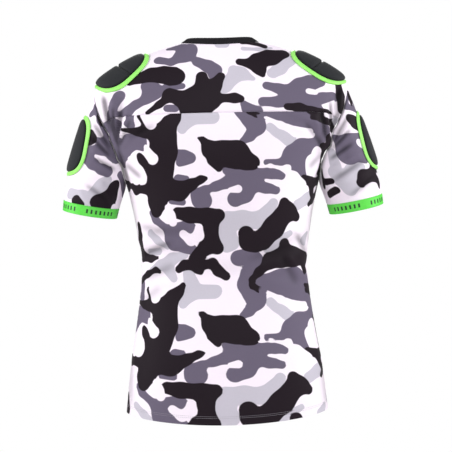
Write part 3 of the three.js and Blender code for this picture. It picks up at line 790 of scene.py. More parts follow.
# More of the print for the middle of the front panel, which shows none of the back's chart, in the same way.
frontPatches = {
    "black": [
        [(178, 262, 15), (205, 276, 19), (232, 268, 14)],
        [(262, 318, 16), (290, 338, 20), (318, 330, 15)],
        [(196, 360, 17), (204, 392, 20), (236, 408, 15)],
        [(300, 430, 17), (282, 458, 20), (252, 470, 14)],
        [(190, 492, 15), (216, 512, 20), (206, 540, 14)],
        [(322, 500, 17), (336, 528, 15)],
    ],
    "grey": [
        [(262, 262, 18), (296, 276, 18)],
        [(186, 318, 18), (222, 330, 16)],
        [(338, 372, 18), (306, 386, 20), (270, 378, 15)],
        [(176, 448, 16), (214, 458, 17)],
        [(262, 520, 20), (287, 540, 17)],
    ],
    "light": [
        [(330, 290, 14), (348, 316, 14)],
        [(244, 366, 12), (262, 346, 12)],
        [(330, 462, 16), (350, 440, 12)],
        [(160, 412, 14), (170, 392, 12)],
    ],
}
sleevePatches = {
    -1: {
        "black": [
            [(91, 132, 6), (93, 137, 6.5)],
            [(115, 185, 8), (112, 194, 10)],
            [(97, 198, 7.5), (107, 198, 10), (112, 196, 9)],
            [(100, 204, 6), (112, 206, 6)],
            [(76, 197, 6), (82, 202, 4)],
            # Painted shadow: a dark stroke beside the armhole seam, where the seam's fold shades the sleeve.
            [(107, 111, 3), (108, 120, 3)],
        ],
        "grey": [
            [(94, 111, 4), (99, 107, 4)],
            [(98, 137, 3), (106, 139, 4), (115, 146, 4)],
            [(90, 148, 6), (100, 148, 6.5), (110, 152, 7), (119, 156, 6)],
            [(90, 154, 7), (97, 160, 6.5), (105, 166, 6), (110, 170, 5.5)],
            [(103, 101, 3), (105, 116, 3.5), (112, 130, 4)],
            # Grey along the sleeve's inner edge beside the body: partly print, partly painted shadow.
            [(121, 172, 4), (124, 183, 5), (124, 192, 4)],
        ],
        "light": [
            [(95, 188, 6), (103, 182, 7.5), (108, 179, 6)],
            [(71, 190, 6), (82, 193, 6), (91, 200, 5)],
        ],
        "white": [
            [(97, 153, 1.8), (104, 157, 3), (112, 162, 2.4)],
            [(114, 205, 4)],
        ],
    },
    1: {
        "black": [
            [(351, 95, 3), (353, 102, 3.5), (354, 107, 2.5)],
            [(352, 121, 5), (357, 125, 8), (361, 130, 5.5)],
            [(362, 186, 5), (366, 179, 7), (374, 178, 7), (379, 184, 4.5), (380, 190, 3)],
            [(373, 170, 4), (379, 173, 4)],
            [(327, 184, 4), (333, 183, 3.5)],
            [(330, 197, 4), (338, 192, 4)],
            # Black along the sleeve's inner edge beside the body: partly print, partly painted shadow.
            [(323, 172, 3), (325, 188, 4)],
        ],
        "grey": [
            [(337, 141, 5), (345, 146, 8), (347, 157, 10), (356, 152, 12), (364, 160, 7)],
            # Grey by the armhole seam: partly print, partly painted shade of the seam's folds.
            [(344, 96, 3), (346, 108, 3.5), (357, 112, 4)],
            [(352, 142, 7), (362, 141, 6)],
            [(358, 106, 4), (361, 112, 4)],
        ],
        "light": [
            [(336, 176, 7.5), (345, 182, 10), (356, 179, 10), (350, 191, 8)],
            [(362, 169, 5), (352, 171, 5)],
            [(334, 155, 5), (337, 166, 6)],
        ],
        "white": [[(362, 146, 5), (366, 150, 4)]],
    },
}


# Where the chart's patches lie on a piece's flat cloth: each point of a stroke goes to the cloth that is seen
# there from behind, as a mean of the four nearest grid points weighted by closeness.
def layPatches(patches, grid, normals, flat):
    towards = np.array([0, -camouflage["distance"], camouflage["height"]]) - grid
    facing = (towards * normals).sum(-1) > 0
    depth = camouflage["distance"] + grid[..., 1]
    seen = np.stack([
        camouflage["middle"] + camouflage["squares"] * grid[..., 0] / depth,
        camouflage["level"] - camouflage["squares"] * (grid[..., 2] - camouflage["height"]) / depth,
    ], -1)[facing]
    here = flat[facing]
    laid = {}
    for colour, runs in patches.items():
        strokes = []
        for run in runs:
            run = np.array(run + run[-1:] if len(run) == 1 else run, float)
            gone = ((seen[None] - run[:, None, :2]) ** 2).sum(-1)
            nearest = np.argpartition(gone, 4, axis=1)[:, :4]
            weight = 1 / (np.take_along_axis(gone, nearest, 1) + 0.05)
            places = (here[nearest] * weight[..., None]).sum(1) / weight.sum(1, keepdims=True)
            radii = run[:, 2] * camouflage["squareMm"] - camouflage["swell"]
            strokes += list(zip(places[:-1], places[1:], radii[:-1], radii[1:]))
        laid[colour] = strokes
    return laid


# The distance in millimetres to a colour's patches, negative inside: the least over its strokes, each a
# segment with a radius that changes evenly along it, blended where two come close. A repeat wraps them round.
def patchDistance(flat, strokes, repeat=None):
    points = flat.reshape(-1, 2)
    distance = np.full(len(points), camouflage["far"])
    blend = camouflage["blend"]
    for start, end, startRadius, endRadius in strokes:
        off = points - (start + end) / 2
        if repeat is not None:
            off -= np.array(repeat) * np.round(off / np.array(repeat))
        half = (end - start) / 2
        reach = np.hypot(*half) + max(startRadius, endRadius) + camouflage["margin"]
        near = np.flatnonzero(np.abs(off).max(1) < reach)
        off = off[near]
        along = np.clip((off @ half) / (2 * (half @ half) + 1e-6) + 0.5, 0, 1)
        gone = np.linalg.norm(off - (2 * along[:, None] - 1) * half, axis=1)
        gone -= startRadius + (endRadius - startRadius) * along
        share = np.clip(0.5 + 0.5 * (distance[near] - gone) / blend, 0, 1)
        distance[near] += (gone - distance[near]) * share - blend * share * (1 - share)
    return distance.reshape(flat.shape[:-1])


# Gives a cloth piece the flat place of each point, which layer it is on, its distance to each colour and how
# much painted shade darkens it in a trough, or beside the armhole seam, where both cloths bunch.
def printCloth(piece, grid, flat, toArmhole, laid, repeat=None):
    below = np.clip((cloth["bunchFrom"] - grid[..., 2]) / cloth["bunchFade"], 0, 1)
    seamShade = cloth["bunchShade"] * np.exp(-((toArmhole / cloth["bunchReach"]) ** 2)) * below
    setAttribute(piece, "trough", np.tile(np.maximum(troughShade(grid), seamShade).ravel(), 2))
    layer = np.repeat([0.0, 1.0], flat[..., 0].size)
    place = np.tile(flat.reshape(-1, 2), (2, 1))
    setAttribute(piece, "flat", np.column_stack([place, layer]), "FLOAT_VECTOR")
    for colour, strokes in laid.items():
        setAttribute(piece, f"{colour}Patch", np.tile(patchDistance(flat, strokes, repeat).ravel(), 2))


# Materials.
def newMaterial(name):
    material = bpy.data.materials.new(name)
    material.use_nodes = True
    tree = material.node_tree
    return material, tree, tree.nodes["Principled BSDF"]


# Sublimation-printed polyester and elastane jersey, knitted fine and smooth: it looks matt with a faint sheen,
# its patches have a slightly soft edge, and its inside shows the print only as a pale ghost. Its colour is
# darkened in troughs and beside the armhole seam as painted shade.
jersey = {
    "white": "#F1E6F3",
    "light": "#C0BBC8",
    "grey": "#655D70",
    "black": "#1D141C",
    "inside": "#E9E7EA",
    "ghost": 0.16,
    "edge": 0.7,  # millimetres over which a patch's ink fades
    "roughness": 0.62,
    "specular": 0.12,
    "sheen": 0.05,
    "troughShade": 0.34,  # a deep trough's colour, as a share of its cloth's
    "walePitch": 1.6,  # real wales are near 0.6 mm, too fine to show
}


def printedJersey():
    material, tree, shader = newMaterial("printed polyester jersey")
    colour = None
    for name in ("light", "grey", "black", "white"):
        patch = addNode(tree, "ShaderNodeAttribute", attribute_name=f"{name}Patch")
        ink = addNode(
            tree, "ShaderNodeMapRange",
            {0: patch.outputs["Fac"], 1: jersey["edge"], 2: -jersey["edge"], 3: 0.0, 4: 1.0},
            interpolation_type="SMOOTHSTEP",
        )
        below = colour if colour else linear(jersey["white"])
        mixed = addNode(
            tree, "ShaderNodeMix", {0: ink.outputs[0], 6: below, 7: linear(jersey[name])}, data_type="RGBA"
        )
        colour = mixed.outputs[2]
    flat = addNode(tree, "ShaderNodeAttribute", attribute_name="flat")
    place = addNode(tree, "ShaderNodeSeparateXYZ", {0: flat.outputs["Vector"]})
    ghost = addNode(
        tree, "ShaderNodeMix", {0: jersey["ghost"], 6: linear(jersey["inside"]), 7: colour}, data_type="RGBA"
    )
    faced = addNode(
        tree, "ShaderNodeMix", {0: place.outputs[2], 6: colour, 7: ghost.outputs[2]}, data_type="RGBA"
    )
    mottle = addNode(
        tree, "ShaderNodeTexNoise", {"Vector": flat.outputs["Vector"], "Scale": 0.35, "Detail": 3.0}
    )
    tone = addNode(tree, "ShaderNodeMapRange", {0: mottle.outputs[0], 1: 0.3, 2: 0.7, 3: 0.965, 4: 1.0})
    # Painted shade: the colour is darkened in deep troughs and beside the armhole seam.
    trough = addNode(tree, "ShaderNodeAttribute", attribute_name="trough")
    shade = addNode(tree, "ShaderNodeMapRange", {0: trough.outputs["Fac"], 3: 1.0, 4: jersey["troughShade"]})
    shade = addNode(tree, "ShaderNodeMath", {0: tone.outputs[0], 1: shade.outputs[0]}, operation="MULTIPLY")
    toned = addNode(
        tree, "ShaderNodeMix", {0: 1.0, 6: faced.outputs[2], 7: shade.outputs[0]},
        data_type="RGBA", blend_type="MULTIPLY",
    )
    tree.links.new(toned.outputs[2], shader.inputs["Base Color"])
    wales = addNode(
        tree, "ShaderNodeTexWave",
        {"Vector": flat.outputs["Vector"], "Scale": math.pi / 10 / jersey["walePitch"], "Distortion": 0.4},
        wave_profile="SIN",
    )
    raised = addNode(
        tree, "ShaderNodeBump", {"Height": wales.outputs["Fac"], "Strength": 0.12, "Distance": 0.2 * mm}
    )
    tree.links.new(raised.outputs[0], shader.inputs["Normal"])
    shader.inputs["Roughness"].default_value = jersey["roughness"]
    shader.inputs["Specular IOR Level"].default_value = jersey["specular"]
    shader.inputs["Sheen Weight"].default_value = jersey["sheen"]
    shader.inputs["Sheen Roughness"].default_value = 0.4
    return material


# Black cotton and elastane rib of the neck band: deep black, matt, with the ribs raised in its mesh.
def blackRib():
    material, tree, shader = newMaterial("black rib knit")
    place = addNode(tree, "ShaderNodeTexCoord")
    fuzz = addNode(
        tree, "ShaderNodeTexNoise", {"Vector": place.outputs["Object"], "Scale": 900.0, "Detail": 2.0}
    )
    tone = addNode(
        tree, "ShaderNodeMix", {0: fuzz.outputs[0], 6: linear("#0E0C0F"), 7: linear("#242226")},
        data_type="RGBA",
    )
    tree.links.new(tone.outputs[2], shader.inputs["Base Color"])
    raised = addNode(
        tree, "ShaderNodeBump", {"Height": fuzz.outputs[0], "Strength": 0.25, "Distance": 0.3 * mm}
    )
    tree.links.new(raised.outputs[0], shader.inputs["Normal"])
    shader.inputs["Roughness"].default_value = 0.85
    shader.inputs["Specular IOR Level"].default_value = 0.2
    return material


# Woven nylon elastic of the cuffs: bright green, a little glossy on its ribs, with a row of plain dark dashes
# woven in along its middle.
elastic = {
    "green": "#66D950",
    "shade": "#4CC741",
    "dash": "#173A1C",
    "dashPitch": 8.2,
    "dashWide": 3.4,
    "dashTall": 7.5,
    "sideBlur": 0.04,  # a dash's sides fade over this share of its pitch, each way
    "endBlur": 0.3,
    "groupDashes": 7,
    "groupGap": 2,  # and then the room of this many is left bare
}


def greenElastic():
    halfWide, blur = elastic["dashWide"] / elastic["dashPitch"] / 2, elastic["sideBlur"]
    halfTall, endBlur = elastic["dashTall"] / 2, elastic["endBlur"]
    dashes, spaces = elastic["groupDashes"], elastic["groupDashes"] + elastic["groupGap"]
    material, tree, shader = newMaterial("green woven elastic")
    flat = addNode(tree, "ShaderNodeAttribute", attribute_name="flat")
    place = addNode(tree, "ShaderNodeSeparateXYZ", {0: flat.outputs["Vector"]})
    weave = addNode(
        tree, "ShaderNodeTexNoise", {"Vector": flat.outputs["Vector"], "Scale": 0.9, "Detail": 3.0}
    )
    green = addNode(
        tree, "ShaderNodeMix", {0: weave.outputs[0], 6: linear(elastic["shade"]), 7: linear(elastic["green"])},
        data_type="RGBA",
    )
    turns = addNode(tree, "ShaderNodeMath", {0: place.outputs[0], 1: elastic["dashPitch"]}, operation="DIVIDE")
    share = addNode(tree, "ShaderNodeMath", {0: turns.outputs[0]}, operation="FRACT")
    across = addNode(tree, "ShaderNodeMath", {0: share.outputs[0], 1: 0.5}, operation="SUBTRACT")
    across = addNode(tree, "ShaderNodeMath", {0: across.outputs[0]}, operation="ABSOLUTE")
    inDash = addNode(
        tree, "ShaderNodeMapRange",
        {0: across.outputs[0], 1: halfWide + blur, 2: halfWide - blur, 3: 0.0, 4: 1.0},
    )
    middle = addNode(tree, "ShaderNodeMath", {0: place.outputs[1], 1: cuff["width"] / 2}, operation="SUBTRACT")
    middle = addNode(tree, "ShaderNodeMath", {0: middle.outputs[0]}, operation="ABSOLUTE")
    inRow = addNode(
        tree, "ShaderNodeMapRange",
        {0: middle.outputs[0], 1: halfTall + endBlur, 2: halfTall - endBlur, 3: 0.0, 4: 1.0},
    )
    group = addNode(tree, "ShaderNodeMath", {0: turns.outputs[0], 1: float(spaces)}, operation="DIVIDE")
    group = addNode(tree, "ShaderNodeMath", {0: group.outputs[0]}, operation="FRACT")
    inGroup = addNode(
        tree, "ShaderNodeMath", {0: group.outputs[0], 1: dashes / spaces}, operation="LESS_THAN"
    )
    both = addNode(tree, "ShaderNodeMath", {0: inDash.outputs[0], 1: inRow.outputs[0]}, operation="MULTIPLY")
    shown = addNode(tree, "ShaderNodeMath", {0: both.outputs[0], 1: inGroup.outputs[0]}, operation="MULTIPLY")
    outside = addNode(tree, "ShaderNodeMath", {0: 1.0, 1: place.outputs[2]}, operation="SUBTRACT")
    shown = addNode(tree, "ShaderNodeMath", {0: shown.outputs[0], 1: outside.outputs[0]}, operation="MULTIPLY")
    dashed = addNode(
        tree, "ShaderNodeMix", {0: shown.outputs[0], 6: green.outputs[2], 7: linear(elastic["dash"])},
        data_type="RGBA",
    )
    tree.links.new(dashed.outputs[2], shader.inputs["Base Color"])
    raised = addNode(
        tree, "ShaderNodeBump", {"Height": weave.outputs[0], "Strength": 0.2, "Distance": 0.3 * mm}
    )
    tree.links.new(raised.outputs[0], shader.inputs["Normal"])
    shader.inputs["Roughness"].default_value = 0.5
    shader.inputs["Specular IOR Level"].default_value = 0.35
    return material


# Polyester folded binding tape: lime green, satin, with fine ribs across it.
def limeTape():
    material, tree, shader = newMaterial("lime binding tape")
    place = addNode(tree, "ShaderNodeTexCoord")
    weave = addNode(
        tree, "ShaderNodeTexNoise", {"Vector": place.outputs["Object"], "Scale": 700.0, "Detail": 2.0}
    )
    tone = addNode(
        tree, "ShaderNodeMix", {0: weave.outputs[0], 6: linear("#88E060"), 7: linear("#A6F07C")},
        data_type="RGBA",
    )
    tree.links.new(tone.outputs[2], shader.inputs["Base Color"])
    raised = addNode(
        tree, "ShaderNodeBump", {"Height": weave.outputs[0], "Strength": 0.2, "Distance": 0.3 * mm}
    )
    tree.links.new(raised.outputs[0], shader.inputs["Normal"])
    shader.inputs["Roughness"].default_value = 0.5
    shader.inputs["Specular IOR Level"].default_value = 0.3
    shader.inputs["Sheen Weight"].default_value = 0.1
    return material


# Charcoal mesh-backed polyester over foam: a fine open knit, so it is matt and speckled, darker in its holes.
# Its rim and the groove between its blocks are darkened nearly to black as painted shade.
padCover = {
    "face": "#1F2125",
    "hole": "#0D0E10",
    # painted shade at the rim and in the groove:
    "rim": "#060607",
    "cell": 2.0,  # real holes are near 1 mm, too fine to show
}


def charcoalMesh():
    material, tree, shader = newMaterial("charcoal pad cover")
    place = addNode(tree, "ShaderNodeTexCoord")
    cells = addNode(
        tree, "ShaderNodeTexVoronoi",
        {"Vector": place.outputs["Object"], "Scale": 1 / (padCover["cell"] * mm), "Randomness": 0.35},
    )
    facing = addNode(
        tree, "ShaderNodeMapRange", {0: cells.outputs["Distance"], 1: 0.1, 2: 0.45, 3: 0.0, 4: 1.0}
    )
    tone = addNode(
        tree, "ShaderNodeMix", {0: facing.outputs[0], 6: linear(padCover["hole"]), 7: linear(padCover["face"])},
        data_type="RGBA",
    )
    # Painted shade: the rim and the groove darken nearly to black.
    rim = addNode(tree, "ShaderNodeAttribute", attribute_name="rim")
    rimmed = addNode(
        tree, "ShaderNodeMix", {0: rim.outputs["Fac"], 6: tone.outputs[2], 7: linear(padCover["rim"])},
        data_type="RGBA",
    )
    tree.links.new(rimmed.outputs[2], shader.inputs["Base Color"])
    raised = addNode(
        tree, "ShaderNodeBump", {"Height": facing.outputs[0], "Strength": 0.35, "Distance": 0.3 * mm}
    )
    tree.links.new(raised.outputs[0], shader.inputs["Normal"])
    shader.inputs["Roughness"].default_value = 0.8
    shader.inputs["Specular IOR Level"].default_value = 0.25
    shader.inputs["Sheen Weight"].default_value = 0.08
    return material


# Spun polyester sewing thread: fine, satin and a little uneven along its length.
def sewingThread(name, hexValue):
    material, tree, shader = newMaterial(name)
    place = addNode(tree, "ShaderNodeTexCoord")
    twist = addNode(tree, "ShaderNodeTexNoise", {"Vector": place.outputs["Object"], "Scale": 1500.0})
    tone = addNode(tree, "ShaderNodeMapRange", {0: twist.outputs[0], 1: 0.3, 2: 0.7, 3: 0.85, 4: 1.0})
    toned = addNode(
        tree, "ShaderNodeMix", {0: 1.0, 6: linear(hexValue), 7: tone.outputs[0]},
        data_type="RGBA", blend_type="MULTIPLY",
    )
    tree.links.new(toned.outputs[2], shader.inputs["Base Color"])
    shader.inputs["Roughness"].default_value = 0.55
    return material


jerseyMaterial = printedJersey()
ribMaterial = blackRib()
elasticMaterial = greenElastic()
tapeMaterial = limeTape()
coverMaterial = charcoalMesh()
whiteThread = sewingThread("pale sewing thread", "#9A96A0")
greenThread = sewingThread("green sewing thread", "#6FCB48")
print("materials made")


# Puts a finished piece on the body, in place of its CAD nodes.
def fit(piece, slot, *nodes):
    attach(piece, "root")
    if nodes:
        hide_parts(*nodes)


def shellArea(outer, looped=False):
    grid = np.concatenate([outer, outer[:, :1]], 1) if looped else outer
    across, down = grid[:-1, 1:] - grid[:-1, :-1], grid[1:, :-1] - grid[:-1, :-1]
    return np.linalg.norm(np.cross(across, down), axis=-1).sum() / 1e6


# Rows: evenly spaced along the shoulder and the sides, and closer near the two ends of an armhole, where the
# height goes with half of one minus the cosine.
def armholeRow(share):
    return tipRing + (underarmRing - tipRing) * (1 - np.cos(np.pi * share)) / 2


rowCounts = cloth["alongRows"]
seamShare = math.acos(1 - 2 * (yokeArmholeRing - tipRing) / (underarmRing - tipRing)) / math.pi
shoulderRows = spread(0, tipRing, rowCounts["shoulder"], 0.02)
upperRows = armholeRow(spread(0, seamShare, int(rowCounts["armhole"] * seamShare), 0.01))
lowerRows = armholeRow(spread(seamShare, 1, int(rowCounts["armhole"] * (1 - seamShare)), 0.01))
sideRows = spread(underarmRing, hemRing, rowCounts["side"], 0.02)
panelColumns = spread(0, 1, cloth["panelColumns"], 0.0022)


def panelPoint(across, position, face):
    start = armholeTurn(position)
    return bodyCloth(face * (start + (np.pi - 2 * start) * across), position)


# The yoke seam's ring position for each column, halving towards a height that drops to the armholes with the
# fourth power of the way out. The CAD model finds it on cloth without the small creases.
def yokeSeamRows():
    smooth = lambda across, position: bodyCloth(
        armholeTurn(position) + (np.pi - 2 * armholeTurn(position)) * across, position, False
    )[..., 2]
    out = np.abs(2 * panelColumns - 1)
    armholeSeamZ = smooth(np.array([0.0]), np.array([yokeArmholeRing]))[0]
    height = yokeSeamZ + (armholeSeamZ - yokeSeamZ) * out**4
    above, below = np.full(out.shape, 1.0), np.full(out.shape, yokeArmholeRing)
    for halving in range(30):
        middle = (above + below) / 2
        higher = smooth(panelColumns, middle) > height
        above, below = np.where(higher, middle, above), np.where(higher, below, middle)
    return np.where(out > 0.999, yokeArmholeRing, above)


yokeSeam = yokeSeamRows()
print("yoke seam found")


# The back's print hangs a little to the left below the waist, and is stretched over the hips.
hemStretch = {"movedFrom": (440, 500), "moved": 7, "movedMore": 4, "widenedFrom": (520, 640), "widened": 0.2}


def smoothRise(values, ends):
    share = np.clip((values - ends[0]) / (ends[1] - ends[0]), 0, 1)
    return share**2 * (3 - 2 * share)


# Flat places on a body panel: across is the length round the body from the middle of the panel, and down is
# the drop. Over the shoulders, where the cloth leans, across turns to the plain distance and down takes in a
# part of the way forward or back.
def flatPanel(grid, leaning, depth, face):
    steps = np.linalg.norm(np.diff(grid[..., :2], axis=1), axis=-1)
    gone = np.concatenate([np.zeros((len(grid), 1)), np.cumsum(steps, 1)], 1)
    around = gone[:, [grid.shape[1] // 2]] - gone
    across = around * (1 - leaning) + grid[..., 0] * leaning
    down = -grid[..., 2] - leaning * 0.3 * (depth + face * grid[..., 1])
    if face > 0:
        moved = smoothRise(-grid[..., 2], hemStretch["movedFrom"])
        widened = smoothRise(-grid[..., 2], hemStretch["widenedFrom"])
        across = across + hemStretch["moved"] * moved + hemStretch["movedMore"] * widened
        across /= 1 + hemStretch["widened"] * widened
    return np.stack([across, down], -1)


def makePanel(name, node, position, face, seams, leaning, depth):
    grid = panelPoint(panelColumns[None, :], position, face)
    normals = gridNormals(grid, grid * [1, 3, 0] + [0, 0, 60])
    toHem = fromEdge(grid, "bottom")
    turnedUp = np.clip((cloth["hemTurn"] + 0.8 - toHem) / 1.6, 0, 1) if "bottom" not in seams else 0 * toHem
    thickness = cloth["wall"] + (cloth["hemWall"] - cloth["wall"]) * turnedUp
    outer, inner = clothWall(grid, normals, thickness, seams)
    piece = shellPiece(name, outer, inner, False, jerseyMaterial)
    flat = flatPanel(grid, leaning, depth, face)
    fit(piece, "camouflage_jersey", node)
    print(name, "worn area", round(shellArea(outer), 4), "triangles", 2 * len(piece.data.polygons))
    return {"piece": piece, "grid": grid, "normals": normals, "flat": flat, "outer": outer}


# How far a body panel's points are from the armhole seam, and far from it above and below the armhole.
def toArmhole(grid, position):
    beside = np.minimum(fromEdge(grid, "right"), fromEdge(grid, "left"))
    return beside + 40 * np.clip(tipRing - position, 0, 1) + 40 * np.clip(position - underarmRing, 0, 1)


def printPanel(panel, position, flat, laid, repeat=None):
    printCloth(panel["piece"], panel["grid"], flat, toArmhole(panel["grid"], position), laid, repeat)


# Back yoke.
yokeShares = np.concatenate([shoulderRows, upperRows[1:]]) / yokeArmholeRing
yokePosition = yokeShares[:, None] * yokeSeam[None, :]
yoke = makePanel(
    "backYoke", "back_yoke", yokePosition, 1, ["top", "bottom", "right", "left"], 1.0, 100
)
yokeLaid = layPatches(yokePatches, yoke["grid"], yoke["normals"], yoke["flat"])
printPanel(yoke, yokePosition, yoke["flat"], yokeLaid)

# Back panel.
lowerPositions = np.concatenate([lowerRows, sideRows[1:]])
backShares = (lowerPositions - yokeArmholeRing) / (hemRing - yokeArmholeRing)
backPosition = yokeSeam[None, :] + backShares[:, None] * (hemRing - yokeSeam[None, :])
back = makePanel(
    "backPanel", "back_panel", backPosition, 1, ["top", "right", "left"], 0.0, 100
)
chartLaid = layPatches(backPatches, back["grid"], back["normals"], back["flat"])


# The chart's strokes with more that are given in flat millimetres.
def withStrokes(patches):
    laid = {colour: list(strokes) for colour, strokes in chartLaid.items()}
    for colour, runs in patches.items():
        for run in runs:
            ends = zip(run[:-1], run[1:])
            laid[colour] += [(np.array(a[:2]), np.array(b[:2]), a[2], b[2]) for a, b in ends]
    return laid


printPanel(back, backPosition, back["flat"], withStrokes(sidePatches), camouflage["repeat"])

# Front panel, with the back's print moved along.
frontPositions = np.concatenate([shoulderRows, upperRows[1:], lowerRows[1:], sideRows[1:]])
frontPosition = np.repeat(frontPositions[:, None], len(panelColumns), 1)
frontLeaning = np.clip((4.5 - frontPosition) / 3, 0, 1)
front = makePanel(
    "frontPanel", "front_panel", frontPosition, -1, ["top", "right", "left"], frontLeaning, 112,
)
frontPrint = front["flat"] + np.array(camouflage["frontShift"])
printPanel(front, frontPosition, frontPrint, withStrokes(frontPatches), camouflage["repeat"])
print("body panels made")


# Sleeves and cuffs.
sleeveTurns = np.linspace(0, 2, cloth["sleeveColumns"], endpoint=False)
sleeveRounds = np.where(
    sleeveTurns < 1, (1 - np.cos(np.pi * sleeveTurns)) / 4, 1 - (1 - np.cos(np.pi * (2 - sleeveTurns))) / 4
)
sleeveGirth = 345  # the print's length round a sleeve


def makeSleeve(side, word):
    along = spread(0, 1, cloth["sleeveRows"], 0.006)[:, None]
    clear = np.array([side, 0, -1]) * cloth["seamGap"]
    grid = sleeveCloth(sleeveRounds[None, :], along, side) + clear * (1 - along)[..., None]
    angle = 2 * np.pi * sleeveRounds
    away = np.stack([side * np.cos(angle), -np.sin(angle), 0.2 * np.cos(angle)], -1)
    normals = gridNormals(grid, away[None], True)
    thickness = np.full(grid.shape[:2], cloth["wall"])
    outer, inner = clothWall(grid, normals, thickness, ["top", "bottom"], True)
    piece = shellPiece(f"sleeve{word}", outer, inner, True, jerseyMaterial)
    around = sleeveGirth * (sleeveRounds - np.round(sleeveRounds))
    flat = np.stack([np.broadcast_to(around, grid.shape[:2]), -grid[..., 2]], -1)
    laid = layPatches(sleevePatches[side], grid, normals, flat)
    lower = [0, camouflage["mirrorDrop"]]
    for strokes in laid.values():
        strokes += [(start * [-1, 1] + lower, end * [-1, 1] + lower, a, b) for start, end, a, b in strokes]
    printCloth(piece, grid, flat, fromEdge(grid, "top"), laid)
    fit(piece, "camouflage_jersey", f"sleeve_{word.lower()}")
    print(piece.name, "worn area", round(shellArea(outer, True), 4), "triangles", 2 * len(piece.data.polygons))


# The cuff: fine ribs run round it, and its two edges are rounded off.
def makeCuff(side, word):
    down = spread(0, cuff["width"], 30, 0.5)[:, None]
    rounds = np.linspace(0, 1, cuff["columns"], endpoint=False)[None, :]
    grid = cuffPoint(rounds, side, down)
    angle = 2 * np.pi * rounds + 0 * down
    normals = np.stack([
        side * np.cos(angle) * math.cos(armTilt), -np.sin(angle), np.cos(angle) * math.sin(armTilt)
    ], -1)
    rib = cuff["ribHeight"] * (np.cos(2 * np.pi * (down - cuff["width"] / 2) / cuff["ribPitch"]) - 1)
    toEdge = np.minimum(down, cuff["width"] - down)
    rounded = 1 - quarterRound(toEdge / cuff["edgeRound"])
    lowered = (rib - rounded) * np.ones(rounds.shape)
    outer = grid + normals * lowered[..., None]
    inner = grid - normals * (cloth["bandWall"] - 0.9 * rounded * np.ones(rounds.shape))[..., None]
    outer[0] += (outer[1] - outer[0]) * 0.3
    piece = shellPiece(f"cuff{word}", outer, inner, True, elasticMaterial)
    place = np.stack(np.broadcast_arrays(rounds * cuff["girth"], down), -1)
    layer = np.repeat([0.0, 1.0], down.size * rounds.size)
    setAttribute(piece, "flat", np.column_stack([np.tile(place.reshape(-1, 2), (2, 1)), layer]), "FLOAT_VECTOR")
    fit(piece, "green_elastic", f"cuff_{word.lower()}")
    print(piece.name, "worn area", round(shellArea(outer, True), 4))


for side, word in ((1, "Right"), (-1, "Left")):
    makeSleeve(side, word)
    makeCuff(side, word)
print("sleeves and cuffs made")


# Neck band: it stands up from the neck seam and leans in over the shoulders. Its ribs run up it, and its top
# edge is a rounded fold.
def makeNeckBand():
    up = spread(0, neckBand["width"], 14, 0.6)[:, None]
    turns = np.linspace(0, 2 * np.pi, neckBand["ribs"] * 6, endpoint=False)[None, :]
    p = bodyPoint(turns, 0 * turns)
    s = np.sin(turns)
    lean = neckBand["lean"] - np.where(s > 0, neckBand["backLean"], neckBand["frontLean"]) * s * s
    inward = -p * [1, 1, 0]
    inward /= np.linalg.norm(inward, axis=-1, keepdims=True)
    gap = cloth["seamGap"]
    grid = p + inward * (lean * up + gap)[..., None]
    grid = grid + np.array([0, 0, 1]) * (np.sqrt(1 - lean * lean) * up + gap)[..., None]
    normals = gridNormals(grid, grid * [1, 1, 0] + [0, 0, 40], True)
    rib = neckBand["ribHeight"] * (np.cos(turns * neckBand["ribs"]) - 1) * np.minimum(1, up / 1.5)
    rounded = 1 - quarterRound((neckBand["width"] - up) / neckBand["edgeRound"])
    outer = grid + normals * (rib - rounded)[..., None]
    inner = grid - normals * (cloth["bandWall"] - 0.9 * rounded + 0 * rib)[..., None]
    piece = shellPiece("neckBand", outer, inner, True, ribMaterial)
    fit(piece, "black_neck_band", "neck_band")
    print(piece.name, "worn area", round(shellArea(outer, True), 4))


makeNeckBand()


# Points over a pad's place: length and width run from -1 to 1 inside the pad's rounded outline, grow widens
# that outline in millimetres, and height is measured off the cloth.
def overShoulder(side):
    pad = padShape["shoulder"]

    def over(length, width, grow, height):
        position = pad["centre"] + (pad["halfRings"] + grow / pad["ringMm"]) * length
        spanned = (pad["halfTurn"] + grow / pad["turnMm"]) * width
        degrees = spanned + pad["shift"] + pad["skew"] * length - side * pad["askew"] * (1 + length)
        turn = np.radians(degrees if side > 0 else 180 - degrees)
        turn, position = np.broadcast_arrays(turn, position)
        height = np.broadcast_to(height, turn.shape)
        return bodyCloth(turn, position, False) + bodyNormal(turn, position) * height[..., None]

    return over


def overArm(side):
    pad = padShape["arm"]

    def over(length, width, grow, height):
        spanned = (pad["halfTurn"] + grow / pad["turnMm"]) * width
        degrees = spanned + pad["shift"] - side * pad["askew"] + pad["skew"] * length
        z = pad["centre"] - (pad["halfMm"] + grow) * length
        around = np.broadcast_to(degrees / 360, np.broadcast(degrees, z).shape)
        top = armholeEdge(around, side, False)[..., 2]
        along = (z - top) / (cuffPoint(around, side, 0 * around)[..., 2] - top)
        height = np.broadcast_to(height, around.shape)
        out = sleeveNormal(around, along, side, False) * height[..., None]
        return sleeveCloth(around, along, side, False) + out

    return over


# The outline in a direction from the middle: a superellipse, squarer the higher the number.
def outlinePoint(angle, square):
    c, s = np.cos(angle), np.sin(angle)
    reach = (np.abs(c) ** square + np.abs(s) ** square) ** (-1 / square)
    return reach * c, reach * s


# Lays a pad over the cloth, darkens its rim with painted shade and puts it in place.
def finishPad(name, node, over, lift, length, width, height, dark, looped):
    top = over(length, width, 0, height)
    bottom = over(length, width, 0, lift + 0 * height)
    piece = shellPiece(name, top, bottom, looped, coverMaterial)
    setAttribute(piece, "rim", np.concatenate([dark.ravel(), 0 * dark.ravel() + 1]))
    mergePoints(piece)
    fit(piece, "pad_cover", node)


